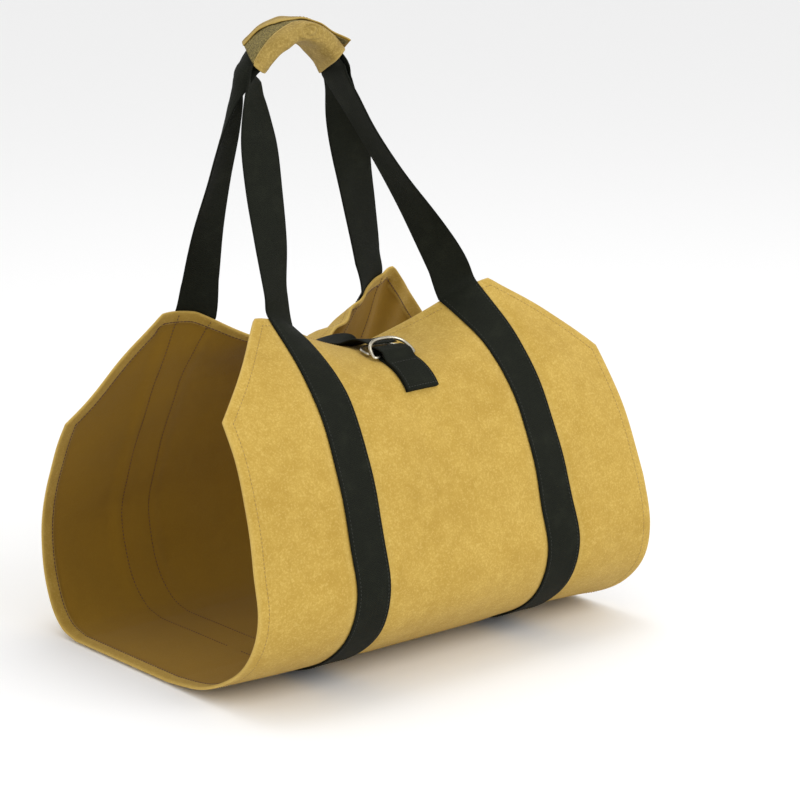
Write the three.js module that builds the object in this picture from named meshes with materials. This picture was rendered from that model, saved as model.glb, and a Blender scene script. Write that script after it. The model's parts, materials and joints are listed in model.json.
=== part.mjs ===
// Firewood carrier bag: one waxed canvas sheet folded up as a log sling, with chamfered panel
// corners, two webbing loops that run under the bag and rise as handles, a canvas grip wrapped
// round both handles, and a webbing strap that closes on two D-rings.
// Millimetres. +X runs along the logs, the front panel faces -Y, +Z is up.
// The origin is the middle of the ground that the bag stands on.

import * as THREE from 'three';
import { mergeVertices } from 'three/addons/utils/BufferGeometryUtils.js';

// Cloth and hardware
const canvasThickness = 1.8;
const hemWidth = 14;
const hemThickness = 3;
const webbingWidth = 38;
const webbingThickness = 1.8;
const gripCanvasThickness = 2.4;
const tapeThickness = 1.2;
const ringWire = 3.2;
const clearance = 0.3;

// Body of the bag
const bagLength = 457;
const bodyDepth = 362;
const frontFlat = 32;
const backFlat = 115;
const bulgeHeight = 97;
const frontTopHeight = 326;
const backTopHeight = 314;
const frontTopReach = 50;
const backTopReach = 93;
const backLeftDrop = 26;
const strapSpacing = 229;
const strapConverge = 10;
const cornerMargin = 16;
const chamferLength = 97;
const frontLeftDraw = 15;
const backLeftDraw = 10;
const rightEndDraw = 1;
const rightFlatGain = 24;
const rightTopDraw = 20;
const edgeSag = 52;
const edgeInward = 39;
const sagLength = 100;

// Handles and grip
const gripHeight = 564;
const gripRise = 30;
const gripDrop = 8;
const gripSpan = 93;
const gripShift = -37.5;
const gripBack = 22;
const gripWidth = 49;
const gripThickness = 17;
const gripLayerGap = 3.8;
const gripInset = 0.04;
const gripOverlap = 24;
const tapeWidth = 16;

// Closure
const closureShift = -10;
const tabFromEdge = 51;
const tabLength = 52;
const ringDepth = 20;
const ringPlay = 1.4;
const ringPitch = 8;
const upperRingLean = 28;
const lowerRingLean = 0;
const tailGap = 6;
const closureSewn = 60;
const closureSag = 3;

// Upper part of each panel, from the widest height up to the top edge.
// out: share of the way from the top edge's reach to the half depth. up: share of the height.
const frontRows = [
  { out: 1.0, up: 0.0 },
  { out: 0.93, up: 0.18 },
  { out: 0.82, up: 0.385 },
  { out: 0.66, up: 0.588 },
  { out: 0.43, up: 0.769 },
  { out: 0.18, up: 0.905 },
  { out: 0.0, up: 1.0 },
];
const backRows = [
  { out: 1.0, up: 0.0 },
  { out: 0.88, up: 0.19 },
  { out: 0.69, up: 0.39 },
  { out: 0.47, up: 0.58 },
  { out: 0.22, up: 0.79 },
  { out: 0.0, up: 1.0 },
];

// Free legs of the handles, from the panel's top edge up to the grip.
// at: share of the way. side, front: bow to +X and to the front, as shares of the leg's length.
// turn: degrees that the width has turned from +X towards the front.
const legRows = {
  frontLeft: [
    { at: 0.12, side: -0.03, front: 0.02, turn: -22 },
    { at: 0.32, side: -0.033, front: 0.03, turn: -5 },
    { at: 0.52, side: -0.037, front: 0.03, turn: 5 },
    { at: 0.72, side: -0.032, front: 0.02, turn: -9 },
    { at: 0.86, side: -0.014, front: 0.012, turn: -38 },
    { at: 0.96, side: 0.016, front: 0.003, turn: -84 },
  ],
  frontRight: [
    { at: 0.12, side: 0.005, front: 0.02, turn: 42 },
    { at: 0.32, side: 0.007, front: 0.02, turn: 70 },
    { at: 0.52, side: 0.001, front: 0.01, turn: 90 },
    { at: 0.72, side: -0.005, front: 0.0, turn: 96 },
    { at: 0.86, side: -0.008, front: 0.0, turn: 92 },
    { at: 0.96, side: -0.008, front: 0.0, turn: 90 },
  ],
  backLeft: [
    { at: 0.12, side: 0.0, front: -0.01, turn: 10 },
    { at: 0.32, side: -0.01, front: -0.02, turn: -6 },
    { at: 0.52, side: -0.015, front: -0.02, turn: -20 },
    { at: 0.72, side: -0.016, front: -0.01, turn: -34 },
    { at: 0.86, side: -0.016, front: 0.0, turn: -60 },
    { at: 0.96, side: -0.018, front: 0.0, turn: -90 },
  ],
  backRight: [
    { at: 0.12, side: 0.018, front: -0.01, turn: -14 },
    { at: 0.32, side: 0.018, front: -0.01, turn: -6 },
    { at: 0.52, side: 0.008, front: 0.0, turn: 6 },
    { at: 0.72, side: 0.01, front: 0.0, turn: 42 },
    { at: 0.86, side: 0.014, front: 0.0, turn: 86 },
    { at: 0.96, side: 0.01, front: 0.0, turn: 90 },
  ],
};

// How far the closure strap has climbed from the canvas to its height over the lower ring, at
// even steps from the front edge to its end
const closureClimb = [0, 0.02, 0.2, 0.6, 0.9, 1, 1, 1];

// Steps of the surfaces
const bendSteps = 8;
const panelSteps = 10;
const sagColumns = 5;
const outerColumns = 3;
const hemStep = 1;
const legSteps = 3;
const gripSteps = 9;
const roundSteps = 26;
const wireSides = 8;

const halfDepth = bodyDepth / 2;
const halfLength = bagLength / 2;
const halfWebbing = webbingWidth / 2;
const strapPlace = strapSpacing / 2;
const cornerPlace = strapPlace + halfWebbing + cornerMargin;
const canvasFloor = webbingThickness + clearance;

// Where changes along the cloth begin, as shares of a panel's length, and how sharply they grow
const convergeFrom = 0.35;
const convergePower = 1.2;
const chamferFrom = 0.5;
const topDrawFrom = 0.55;
const hangPower = 1.6;
const fadePower = 1.6;

const front = {
  sign: -1,
  flat: frontFlat,
  height: frontTopHeight,
  reach: frontTopReach,
  leftDrop: 0,
  leftDraw: frontLeftDraw,
  flatGain: rightFlatGain,
  rows: frontRows,
};
const back = {
  sign: 1,
  flat: backFlat,
  height: backTopHeight,
  reach: backTopReach,
  leftDrop: backLeftDrop,
  leftDraw: backLeftDraw,
  flatGain: 0,
  rows: backRows,
};

function share01(value) {
  return Math.min(Math.max(value, 0), 1);
}

// 0 at the straps, 1 at an open end
function towardsEnd(place) {
  return share01((Math.abs(place) - strapPlace) / (halfLength - strapPlace));
}

// Half depth at a place along X, drawn in towards the open ends
function depthAt(panel, place) {
  const draw = place < 0 ? panel.leftDraw : rightEndDraw;
  return halfDepth - draw * towardsEnd(place) ** 2;
}

// One panel's section at a place along X: flat bottom, quarter ellipse, then the panel's rows.
// Kept as a fine polyline with its running length.
const sections = new Map();
function panelSection(panel, place) {
  const key = `${panel.sign} ${place}`;
  if (sections.has(key)) return sections.get(key);
  const depth = depthAt(panel, place);
  const top = panel.height - (place < 0 ? panel.leftDrop * towardsEnd(place) : 0);
  const flat = panel.flat + (place > 0 ? panel.flatGain * towardsEnd(place) ** 2 : 0);
  const points = [];
  const ellipsePoints = 4;
  for (let step = 0; step < ellipsePoints; step += 1) {
    const angle = (step / ellipsePoints) * (Math.PI / 2);
    const out = flat + (depth - flat) * Math.sin(angle);
    points.push(new THREE.Vector2(out, canvasFloor + (bulgeHeight - canvasFloor) * (1 - Math.cos(angle))));
  }
  for (const row of panel.rows) {
    const out = panel.reach + (depth - panel.reach) * row.out;
    points.push(new THREE.Vector2(out, bulgeHeight + (top - bulgeHeight) * row.up));
  }
  const fine = new THREE.SplineCurve(points).getPoints(points.length * 12);
  fine.unshift(new THREE.Vector2(0, canvasFloor));
  const lengths = [0];
  for (let index = 1; index < fine.length; index += 1) {
    lengths.push(lengths[index - 1] + fine[index].distanceTo(fine[index - 1]));
  }
  const section = { fine, lengths, total: lengths.at(-1) };
  sections.set(key, section);
  return section;
}

function sectionPoint(panel, place, share) {
  const { fine, lengths, total } = panelSection(panel, place);
  const length = share * total;
  let index = 1;
  while (index < lengths.length - 1 && lengths[index] < length) index += 1;
  const along = (length - lengths[index - 1]) / (lengths[index] - lengths[index - 1]);
  return fine[index - 1].clone().lerp(fine[index], along);
}

front.length = panelSection(front, strapPlace).total;
back.length = panelSection(back, strapPlace).total;

// Outer face of the canvas. place: along X in the flat sheet. share: 0 at the bottom's middle,
// -1 at the front top edge, 1 at the back top edge.
function canvasPoint(place, share) {
  const panel = share < 0 ? front : back;
  const upward = Math.abs(share);
  const point = sectionPoint(panel, place, upward);
  const between = share01(1 - Math.abs(place) / cornerPlace);
  const nearEdge = share01(1 - ((1 - upward) * panel.length) / sagLength) ** fadePower;
  const hang = Math.sin((between * Math.PI) / 2) ** hangPower * nearEdge;
  const topDraw = place < 0 ? 0 : rightTopDraw * towardsEnd(place) ** 2;
  const upperDraw = topDraw * share01((upward - topDrawFrom) / (1 - topDrawFrom));
  const out = point.x - edgeInward * hang - upperDraw;
  const height = point.y - edgeSag * hang;
  const converge = strapConverge * share01((upward - convergeFrom) / (1 - convergeFrom)) ** convergePower;
  const x = place - converge * Math.max(-1, Math.min(1, place / strapPlace));
  return new THREE.Vector3(x, panel.sign * out, height);
}

function canvasNormal(place, share) {
  const sideStep = 0.5;
  const upStep = 0.001;
  const low = Math.max(share - upStep, -1);
  const high = Math.min(share + upStep, 1);
  const across = canvasPoint(place + sideStep, share).sub(canvasPoint(place - sideStep, share));
  const along = canvasPoint(place, high).sub(canvasPoint(place, low));
  return along.cross(across).normalize();
}

// A point held off the canvas's outer face
function offCanvas(place, share, height) {
  return canvasPoint(place, share).addScaledVector(canvasNormal(place, share), height);
}

function fromEdge(panel, distance) {
  return panel.sign * (1 - distance / panel.length);
}

// Closed body from two grids of points, the near face and the far face of a bent sheet
function sheetGeometry(near, far) {
  const rows = near.length;
  const columns = near[0].length;
  const positions = [];
  const indices = [];
  for (const grid of [near, far]) {
    for (const row of grid) {
      for (const point of row) positions.push(point.x, point.y, point.z);
    }
  }
  const at = (layer, row, column) => (layer * rows + row) * columns + column;
  const quad = (a, b, c, d) => indices.push(a, b, c, a, c, d);
  for (let row = 0; row < rows - 1; row += 1) {
    for (let column = 0; column < columns - 1; column += 1) {
      quad(at(0, row, column), at(0, row + 1, column), at(0, row + 1, column + 1), at(0, row, column + 1));
      quad(at(1, row, column), at(1, row, column + 1), at(1, row + 1, column + 1), at(1, row + 1, column));
    }
  }
  const border = [];
  for (let column = 0; column < columns; column += 1) border.push([0, column]);
  for (let row = 1; row < rows; row += 1) border.push([row, columns - 1]);
  for (let column = columns - 2; column >= 0; column -= 1) border.push([rows - 1, column]);
  for (let row = rows - 2; row > 0; row -= 1) border.push([row, 0]);
  border.forEach(([row, column], index) => {
    const [nextRow, nextColumn] = border[(index + 1) % border.length];
    quad(at(0, row, column), at(0, nextRow, nextColumn), at(1, nextRow, nextColumn), at(1, row, column));
  });
  const geometry = new THREE.BufferGeometry();
  geometry.setAttribute('position', new THREE.Float32BufferAttribute(positions, 3));
  geometry.setIndex(indices);
  return outward(geometry);
}

// Turns a closed geometry so that its faces point out
function outward(geometry) {
  const position = geometry.getAttribute('position');
  const index = geometry.getIndex().array;
  const [a, b, c] = [new THREE.Vector3(), new THREE.Vector3(), new THREE.Vector3()];
  let volume = 0;
  for (let face = 0; face < index.length; face += 3) {
    a.fromBufferAttribute(position, index[face]);
    b.fromBufferAttribute(position, index[face + 1]);
    c.fromBufferAttribute(position, index[face + 2]);
    volume += a.dot(b.cross(c));
  }
  if (volume < 0) {
    for (let face = 0; face < index.length; face += 3) {
      [index[face + 1], index[face + 2]] = [index[face + 2], index[face + 1]];
    }
  }
  geometry.computeVertexNormals();
  return geometry;
}

const canvasCloth = { color: 0xd2b05b, roughness: 0.85, metalness: 0 };
const webbingCloth = { color: 0x23251c, roughness: 0.8, metalness: 0 };
const steel = { color: 0xc9c9c4, roughness: 0.3, metalness: 1 };
const tapeCloth = { color: 0x5c4e26, roughness: 0.95, metalness: 0 };

function addMesh(name, geometry, look) {
  const mesh = new THREE.Mesh(geometry, new THREE.MeshStandardMaterial(look));
  mesh.name = name;
  carrier.add(mesh);
}

const carrier = new THREE.Group();

// Canvas sheet

// Shares up one panel: the flat bottom, the bend and the panel, the same for every column
function panelShares(panel) {
  const { fine, lengths, total } = panelSection(panel, strapPlace);
  const flatShare = panel.flat / total;
  const bendShare = lengths[fine.findIndex((point) => point.y >= bulgeHeight)] / total;
  const shares = [flatShare];
  for (let step = 1; step <= bendSteps; step += 1) {
    shares.push(flatShare + ((bendShare - flatShare) * step) / bendSteps);
  }
  const hemShare = 1 - hemWidth / panel.length;
  for (let step = 1; step < panelSteps; step += 1) {
    shares.push(bendShare + ((hemShare - bendShare) * step) / panelSteps);
  }
  shares.push(hemShare - hemStep / panel.length, hemShare, 1);
  return shares;
}

const frontShares = panelShares(front);
const backShares = panelShares(back);
const canvasShares = [...frontShares.map((share) => -share).reverse(), 0, ...backShares];

// Top of the sheet at a place, lower along the chamfer
function topShare(panel, place) {
  const along = share01((Math.abs(place) - cornerPlace) / (halfLength - cornerPlace));
  return 1 - (chamferLength * along) / panel.length;
}

// Rows above the middle of the panel close up under the chamfer
function trimmedShare(place, share) {
  const panel = share < 0 ? front : back;
  const upward = Math.abs(share);
  if (upward <= chamferFrom) return share;
  const closing = (topShare(panel, place) - chamferFrom) / (1 - chamferFrom);
  return panel.sign * (chamferFrom + (upward - chamferFrom) * closing);
}

function canvasPlaces() {
  const inner = strapPlace - halfWebbing;
  const closure = [-halfWebbing, 0, halfWebbing].map((across) => closureShift + across);
  const spread = (from, to) =>
    Array.from({ length: sagColumns - 1 }, (_, step) => from + ((to - from) * step) / (sagColumns - 1));
  const outside = [strapPlace, strapPlace + halfWebbing, cornerPlace];
  const hemPlace = halfLength - hemWidth;
  for (let step = 1; step < outerColumns; step += 1) {
    outside.push(cornerPlace + ((hemPlace - cornerPlace) * step) / outerColumns);
  }
  outside.push(hemPlace - hemStep, hemPlace, halfLength);
  return [
    ...outside.map((place) => -place).reverse(),
    ...spread(-inner, closure[0]),
    ...closure,
    ...spread(inner, closure[2]).reverse(),
    ...outside,
  ];
}

function canvasBody() {
  const places = canvasPlaces();
  const lastRow = canvasShares.length - 1;
  const inHem = (row, place) =>
    row < 2 || row > lastRow - 2 || Math.abs(place) >= halfLength - hemWidth;
  const outer = canvasShares.map((share) =>
    places.map((place) => canvasPoint(place, trimmedShare(place, share))),
  );
  const inner = canvasShares.map((share, row) =>
    places.map((place) =>
      offCanvas(
        place,
        trimmedShare(place, share),
        -(inHem(row, place) ? hemThickness : canvasThickness),
      ),
    ),
  );
  return sheetGeometry(inner, outer);
}

// Webbing

// Stations that lie on the canvas: three points across with their normals
function panelStations(panel, place, shares) {
  return shares.map((share) =>
    [-halfWebbing, 0, halfWebbing].map((across) => ({
      point: offCanvas(place + across, panel.sign * share, clearance),
      normal: canvasNormal(place + across, panel.sign * share),
    })),
  );
}

const gripFace = gripThickness / 2 - gripCanvasThickness;

// Shape of the grip's section: power of its cosine and sine, and the angles round it of the
// lap's middle and of the place where the outer flap begins to climb over the inner one
const gripSquareness = 0.62;
const lapCentre = 92;
const lapStart = 330;

// Middle line of the grip. at: 0 at the left end, 1 at the right end.
function gripPoint(at) {
  const x = gripShift + gripSpan * (at - 0.5);
  const z = gripHeight - gripRise * (2 * at - 1) ** 2 - gripDrop * (at - 0.5);
  return new THREE.Vector3(x, gripBack, z);
}

function gripTangent(at) {
  const step = 0.01;
  return gripPoint(at + step).sub(gripPoint(at - step)).normalize();
}

// Way up in the grip's own section
function gripUp(at) {
  return gripTangent(at).cross(new THREE.Vector3(0, 1, 0));
}

// Control points of one free leg, from the panel's edge to the grip's end
function legControls(panel, edge, end, rows) {
  const line = end.clone().sub(edge);
  const length = line.length();
  return rows.map((row) => ({
    point: edge
      .clone()
      .addScaledVector(line, row.at)
      .add(new THREE.Vector3(row.side * length, -row.front * length, 0)),
    turn: row.turn,
  }));
}

// Stations of a handle between its two panel edges
function handleStations(panel, leftEdge, rightEdge, leftRows, rightRows) {
  const lift = (panel.sign * gripLayerGap) / 2;
  const inGrip = [];
  for (let step = 0; step <= gripSteps; step += 1) {
    const at = step / gripSteps;
    const point = gripPoint(at).addScaledVector(gripUp(at), lift);
    inGrip.push({ point, turn: at < 0.5 ? -90 : 90, tangent: gripTangent(at) });
  }
  const left = legControls(panel, leftEdge, inGrip[0].point, leftRows);
  const right = legControls(panel, rightEdge, inGrip.at(-1).point, rightRows).reverse();
  const controls = [
    { point: leftEdge, turn: 0 },
    ...left,
    ...inGrip,
    ...right,
    { point: rightEdge, turn: 0 },
  ];
  const curve = new THREE.CatmullRomCurve3(controls.map((control) => control.point), false, 'centripetal');
  const last = controls.length - 1;
  const stations = [];
  for (let step = 1; step < last * legSteps; step += 1) {
    const place = step / legSteps;
    const from = Math.floor(place);
    const gripTangentHere = controls[from].tangent;
    const isControl = step % legSteps === 0;
    if (gripTangentHere && controls[from + 1].tangent && !isControl) continue;
    const next = Math.min(from + 1, last);
    const goingDown = place > last / 2;
    const fromTurn = controls[from].turn;
    const toTurn = controls[next].turn;
    const turn = fromTurn + (toTurn - fromTurn) * (place - from);
    const tangent = (isControl && gripTangentHere) || curve.getTangent(place / last);
    stations.push(ribbonStation(curve.getPoint(place / last), tangent, turn, goingDown, panel));
  }
  return stations;
}

// Three points across a free ribbon, its width turned from +X towards the front
function ribbonStation(centre, tangent, turn, goingDown, panel) {
  const angle = THREE.MathUtils.degToRad(turn);
  const across = new THREE.Vector3(Math.cos(angle), -Math.sin(angle), 0);
  if (goingDown) across.negate();
  across.addScaledVector(tangent, -across.dot(tangent)).normalize();
  const normal = across.clone().cross(tangent).multiplyScalar(-panel.sign);
  return [-halfWebbing, 0, halfWebbing].map((offset) => ({
    point: centre.clone().addScaledVector(across, offset),
    normal,
  }));
}

function ribbonGeometry(stations) {
  const near = stations.map((row) => row.map(({ point }) => point));
  const far = stations.map((row) =>
    row.map(({ point, normal }) => point.clone().addScaledVector(normal, webbingThickness)),
  );
  return sheetGeometry(near, far);
}

// One loop: from under the bag up the left of a panel, over the grip, down the right, under again
function webbingLoop(panel, shares, leftRows, rightRows) {
  const seam = clearance / 2 / panel.length;
  const upShares = [seam, ...shares];
  const left = panelStations(panel, -strapPlace, upShares);
  const right = panelStations(panel, strapPlace, upShares);
  const leftEdge = left.at(-1)[1].point;
  const rightEdge = right.at(-1)[1].point;
  const handle = handleStations(panel, leftEdge, rightEdge, leftRows, rightRows);
  const downRight = right.reverse().map((row) => row.reverse());
  const stations = [...left, ...handle, ...downRight];
  // The faces of the loop split along the same diagonals as the canvas under it
  return ribbonGeometry(panel === back ? stations : stations.map((row) => row.reverse()));
}

// Grip: canvas wrapped round both handles, its back flap lapped over the front one

// Offset from the grip's middle line at an angle round it: 90 is up, 180 is the front.
// off: distance out from the wrap's inner face.
function gripRound(at, degrees, off) {
  const angle = THREE.MathUtils.degToRad(degrees);
  const lapRise = gripCanvasThickness + clearance;
  const lap = lapRise * share01((degrees - lapStart) / 90);
  const cos = Math.sign(Math.cos(angle)) * Math.abs(Math.cos(angle)) ** gripSquareness;
  const sin = Math.sign(Math.sin(angle)) * Math.abs(Math.sin(angle)) ** gripSquareness;
  const side = gripWidth / 2 - gripCanvasThickness + lap + off;
  const up = gripFace + lap + off;
  return gripPoint(at)
    .add(new THREE.Vector3(0, side * cos, 0))
    .addScaledVector(gripUp(at), up * sin);
}

const overlapAngle = (gripOverlap / gripWidth) * 90;
const frontFlapAngle = lapCentre - overlapAngle / 2;
const backFlapAngle = 360 + lapCentre + overlapAngle / 2;

function gripWrap() {
  const near = [];
  const far = [];
  for (let step = 0; step <= gripSteps; step += 1) {
    const at = gripInset + ((1 - 2 * gripInset) * step) / gripSteps;
    const inner = [];
    const outer = [];
    for (let turn = 0; turn <= roundSteps; turn += 1) {
      const degrees = frontFlapAngle + ((backFlapAngle - frontFlapAngle) * turn) / roundSteps;
      inner.push(gripRound(at, degrees, 0));
      outer.push(gripRound(at, degrees, gripCanvasThickness));
    }
    near.push(inner);
    far.push(outer);
  }
  return sheetGeometry(near, far);
}

// Fuzzy tape on the front flap, just clear of the back flap's tip
function gripTape() {
  const flapGap = 4;
  const start = backFlapAngle - 360 + flapGap;
  const sweep = (tapeWidth / gripWidth) * 90;
  const tapeSteps = 4;
  const near = [];
  const far = [];
  const under = gripCanvasThickness + clearance * 2;
  for (let step = 0; step <= gripSteps; step += 1) {
    const at = gripInset + ((1 - 2 * gripInset) * step) / gripSteps;
    const angles = Array.from({ length: tapeSteps + 1 }, (_, turn) => start + (sweep * turn) / tapeSteps);
    near.push(angles.map((degrees) => gripRound(at, degrees, under)));
    far.push(angles.map((degrees) => gripRound(at, degrees, under + tapeThickness)));
  }
  return sheetGeometry(near, far);
}

// Ring tab: webbing folded round the bars of both rings and sewn to the front panel

const ringLift = clearance + webbingThickness + ringPlay + ringWire / 2;
const foldRadius = ringPlay + ringWire / 2 + webbingThickness;
const lowerRing = { edge: tabFromEdge, lean: lowerRingLean };
const upperRing = { edge: tabFromEdge + ringPitch, lean: upperRingLean };

// Path of the tab's outer face: distance from the edge and height off the canvas
function tabPath() {
  const end = tabFromEdge + tabLength;
  const lower = tabFromEdge + ringPitch;
  const path = [];
  const straightSteps = 5;
  for (let step = 0; step <= straightSteps; step += 1) {
    path.push({ edge: end + ((tabFromEdge - end) * step) / straightSteps, off: clearance });
  }
  const foldSteps = 6;
  for (let step = 1; step < foldSteps; step += 1) {
    const angle = (step / foldSteps) * Math.PI;
    path.push({
      edge: tabFromEdge - foldRadius * Math.sin(angle),
      off: ringLift - foldRadius * Math.cos(angle),
    });
  }
  const top = ringLift + foldRadius;
  const sewn = clearance * 2 + webbingThickness * 2;
  path.push({ edge: tabFromEdge, off: top });
  path.push({ edge: lower, off: top });
  path.push({ edge: lower + foldRadius * 2, off: sewn });
  const flatSteps = 3;
  for (let step = 1; step <= flatSteps; step += 1) {
    const from = lower + foldRadius * 2;
    path.push({ edge: from + ((end - from) * step) / flatSteps, off: sewn });
  }
  return path;
}

function ringTab() {
  const path = tabPath();
  const inwards = path.map((point, index) => {
    const before = path[Math.max(index - 1, 0)];
    const after = path[Math.min(index + 1, path.length - 1)];
    const along = new THREE.Vector2(after.edge - before.edge, after.off - before.off).normalize();
    return { edge: along.y * webbingThickness, off: -along.x * webbingThickness };
  });
  const row = (point) =>
    [halfWebbing, 0, -halfWebbing].map((across) =>
      offCanvas(closureShift + across, fromEdge(front, point.edge), point.off),
    );
  const outer = path.map(row);
  const inner = path.map((point, index) =>
    row({ edge: point.edge + inwards[index].edge, off: point.off + inwards[index].off }),
  );
  return sheetGeometry(inner, outer);
}

// Place of a D-ring whose bar lies at a distance from the edge, and the way that its bow points
function ringPlace({ edge, lean }) {
  const share = fromEdge(front, edge);
  const normal = canvasNormal(closureShift, share);
  const side = canvasPoint(closureShift + halfWebbing, share)
    .sub(canvasPoint(closureShift - halfWebbing, share))
    .normalize();
  const angle = THREE.MathUtils.degToRad(lean);
  const upSlope = side.clone().cross(normal).negate().normalize();
  const reach = upSlope.multiplyScalar(Math.cos(angle)).addScaledVector(normal, Math.sin(angle));
  return { centre: offCanvas(closureShift, share, ringLift), side, reach };
}

// D-ring: a straight bar and a rounded bow, bent from one wire and welded
function ringGeometry(ring) {
  const { centre, side, reach } = ringPlace(ring);
  const halfWidth = halfWebbing + ringPlay * 2 + ringWire / 2;
  const bowPower = 0.77;
  const points = [];
  const barSteps = 4;
  for (let step = 1; step < barSteps; step += 1) {
    points.push({ x: halfWidth * (1 - (2 * step) / barSteps), out: 0 });
  }
  const bowSteps = 12;
  for (let step = 0; step <= bowSteps; step += 1) {
    const turn = (step / bowSteps) * Math.PI;
    points.push({
      x: -halfWidth * Math.sign(Math.cos(turn)) * Math.abs(Math.cos(turn)) ** bowPower,
      out: ringDepth * Math.sin(turn) ** bowPower,
    });
  }
  const path = points.map(({ x, out }) =>
    centre.clone().addScaledVector(side, x).addScaledVector(reach, out),
  );
  const curve = new THREE.CatmullRomCurve3(path, true, 'centripetal');
  const tube = new THREE.TubeGeometry(curve, 36, ringWire / 2, wireSides, true);
  tube.deleteAttribute('normal');
  tube.deleteAttribute('uv');
  return outward(mergeVertices(tube, 0.001));
}

// Closure strap: sewn outside the back panel, over both top edges and under the upper ring's bow

function closureStrap() {
  const across = [halfWebbing, 0, -halfWebbing].map((offset) => closureShift + offset);
  const { centre, reach } = ringPlace(lowerRing);
  const bowShare = fromEdge(front, lowerRing.edge - ringDepth);
  const bow = centre.addScaledVector(reach, ringDepth).sub(canvasPoint(closureShift, bowShare));
  const overRing = bow.dot(canvasNormal(closureShift, bowShare)) + ringWire / 2 + ringPlay;
  const stations = [];
  closureClimb.forEach((share, step) => {
    const distance = ((tabFromEdge - tailGap) * step) / (closureClimb.length - 1);
    const off = clearance + (overRing - clearance) * share;
    stations.unshift(
      across.map((place) => ({
        point: offCanvas(place, fromEdge(front, distance), off),
        normal: canvasNormal(place, fromEdge(front, distance)),
      })),
    );
  });
  const sewnSteps = 6;
  const backStations = [];
  for (let step = 0; step <= sewnSteps; step += 1) {
    const distance = (closureSewn * step) / sewnSteps;
    backStations.push(
      across.map((place) => ({
        point: offCanvas(place, fromEdge(back, distance), clearance),
        normal: canvasNormal(place, fromEdge(back, distance)),
      })),
    );
  }
  const frontEdge = stations.at(-1);
  const backEdge = backStations[0];
  const spanSteps = 6;
  for (let step = 1; step < spanSteps; step += 1) {
    const share = step / spanSteps;
    const droop = closureSag * Math.sin(Math.PI * share);
    stations.push(
      across.map((_, column) => ({
        point: frontEdge[column].point
          .clone()
          .lerp(backEdge[column].point, share)
          .add(new THREE.Vector3(0, 0, -droop)),
        normal: frontEdge[column].normal.clone().lerp(backEdge[column].normal, share).normalize(),
      })),
    );
  }
  return ribbonGeometry([...stations, ...backStations]);
}

addMesh('canvas_body', canvasBody(), canvasCloth);
addMesh('front_webbing', webbingLoop(front, frontShares, legRows.frontLeft, legRows.frontRight), webbingCloth);
addMesh('back_webbing', webbingLoop(back, backShares, legRows.backLeft, legRows.backRight), webbingCloth);
addMesh('grip_wrap', gripWrap(), canvasCloth);
addMesh('grip_tape', gripTape(), tapeCloth);
addMesh('ring_tab', ringTab(), webbingCloth);
addMesh('d_ring_upper', ringGeometry(upperRing), steel);
addMesh('d_ring_lower', ringGeometry(lowerRing), steel);
addMesh('closure_strap', closureStrap(), webbingCloth);

export default carrier;
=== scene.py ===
# Firewood carrier bag: waxed canvas sling, two webbing loops, wrapped grip, D-ring closure.
# Metres. +X runs along the logs, the front panel faces -Y, +Z is up.
import json
import math

import bpy
import numpy as np
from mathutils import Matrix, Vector

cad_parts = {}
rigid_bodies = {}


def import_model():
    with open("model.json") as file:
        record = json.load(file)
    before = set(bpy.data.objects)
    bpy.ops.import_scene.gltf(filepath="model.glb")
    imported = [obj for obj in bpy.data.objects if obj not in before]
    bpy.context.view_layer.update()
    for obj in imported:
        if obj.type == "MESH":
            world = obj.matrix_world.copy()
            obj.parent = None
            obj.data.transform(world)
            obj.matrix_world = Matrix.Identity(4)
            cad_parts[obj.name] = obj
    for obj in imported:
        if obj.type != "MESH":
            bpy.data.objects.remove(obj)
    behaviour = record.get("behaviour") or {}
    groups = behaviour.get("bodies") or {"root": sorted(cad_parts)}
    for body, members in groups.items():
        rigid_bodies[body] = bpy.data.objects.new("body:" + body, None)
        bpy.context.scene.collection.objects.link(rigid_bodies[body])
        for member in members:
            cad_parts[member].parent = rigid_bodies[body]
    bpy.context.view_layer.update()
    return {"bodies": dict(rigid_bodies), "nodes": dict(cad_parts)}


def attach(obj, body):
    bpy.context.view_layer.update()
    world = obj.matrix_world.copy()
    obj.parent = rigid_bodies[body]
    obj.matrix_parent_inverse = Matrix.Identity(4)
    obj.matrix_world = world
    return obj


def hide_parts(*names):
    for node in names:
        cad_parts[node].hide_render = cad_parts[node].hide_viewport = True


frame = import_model()
body = next(iter(frame["bodies"]))
print("frame loaded:", len(frame["nodes"]), "nodes")

# Sizes of the sewn bag, as the solids have them
bag = {
    "length": 0.457,
    "depth": 0.362,
    "bulgeHeight": 0.097,
    "strapSpacing": 0.229,
    "strapConverge": 0.010,
    "cornerMargin": 0.016,
    "chamfer": 0.097,
    "rightDraw": 0.001,
    "rightTopDraw": 0.020,
    "edgeSag": 0.052,
    "edgeInward": 0.039,
    "sagLength": 0.100,
    "canvas": 0.0018,
    "hem": 0.003,
    "hemWidth": 0.014,
    "webbingWidth": 0.038,
    "webbing": 0.0018,
    "clearance": 0.0003,
    "closureShift": -0.010,
}
frontPanel = {
    "sign": -1,
    "flat": 0.032,
    "height": 0.326,
    "reach": 0.050,
    "leftDrop": 0.0,
    "leftDraw": 0.015,
    "flatGain": 0.024,
    "rows": [(1, 0), (0.93, 0.18), (0.82, 0.385), (0.66, 0.588), (0.43, 0.769), (0.18, 0.905), (0, 1)],
}
backPanel = {
    "sign": 1,
    "flat": 0.115,
    "height": 0.314,
    "reach": 0.093,
    "leftDrop": 0.026,
    "leftDraw": 0.010,
    "flatGain": 0.0,
    "rows": [(1, 0), (0.88, 0.19), (0.69, 0.39), (0.47, 0.58), (0.22, 0.79), (0, 1)],
}
halfLength = bag["length"] / 2
halfDepth = bag["depth"] / 2
halfWebbing = bag["webbingWidth"] / 2
strapPlace = bag["strapSpacing"] / 2
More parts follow.
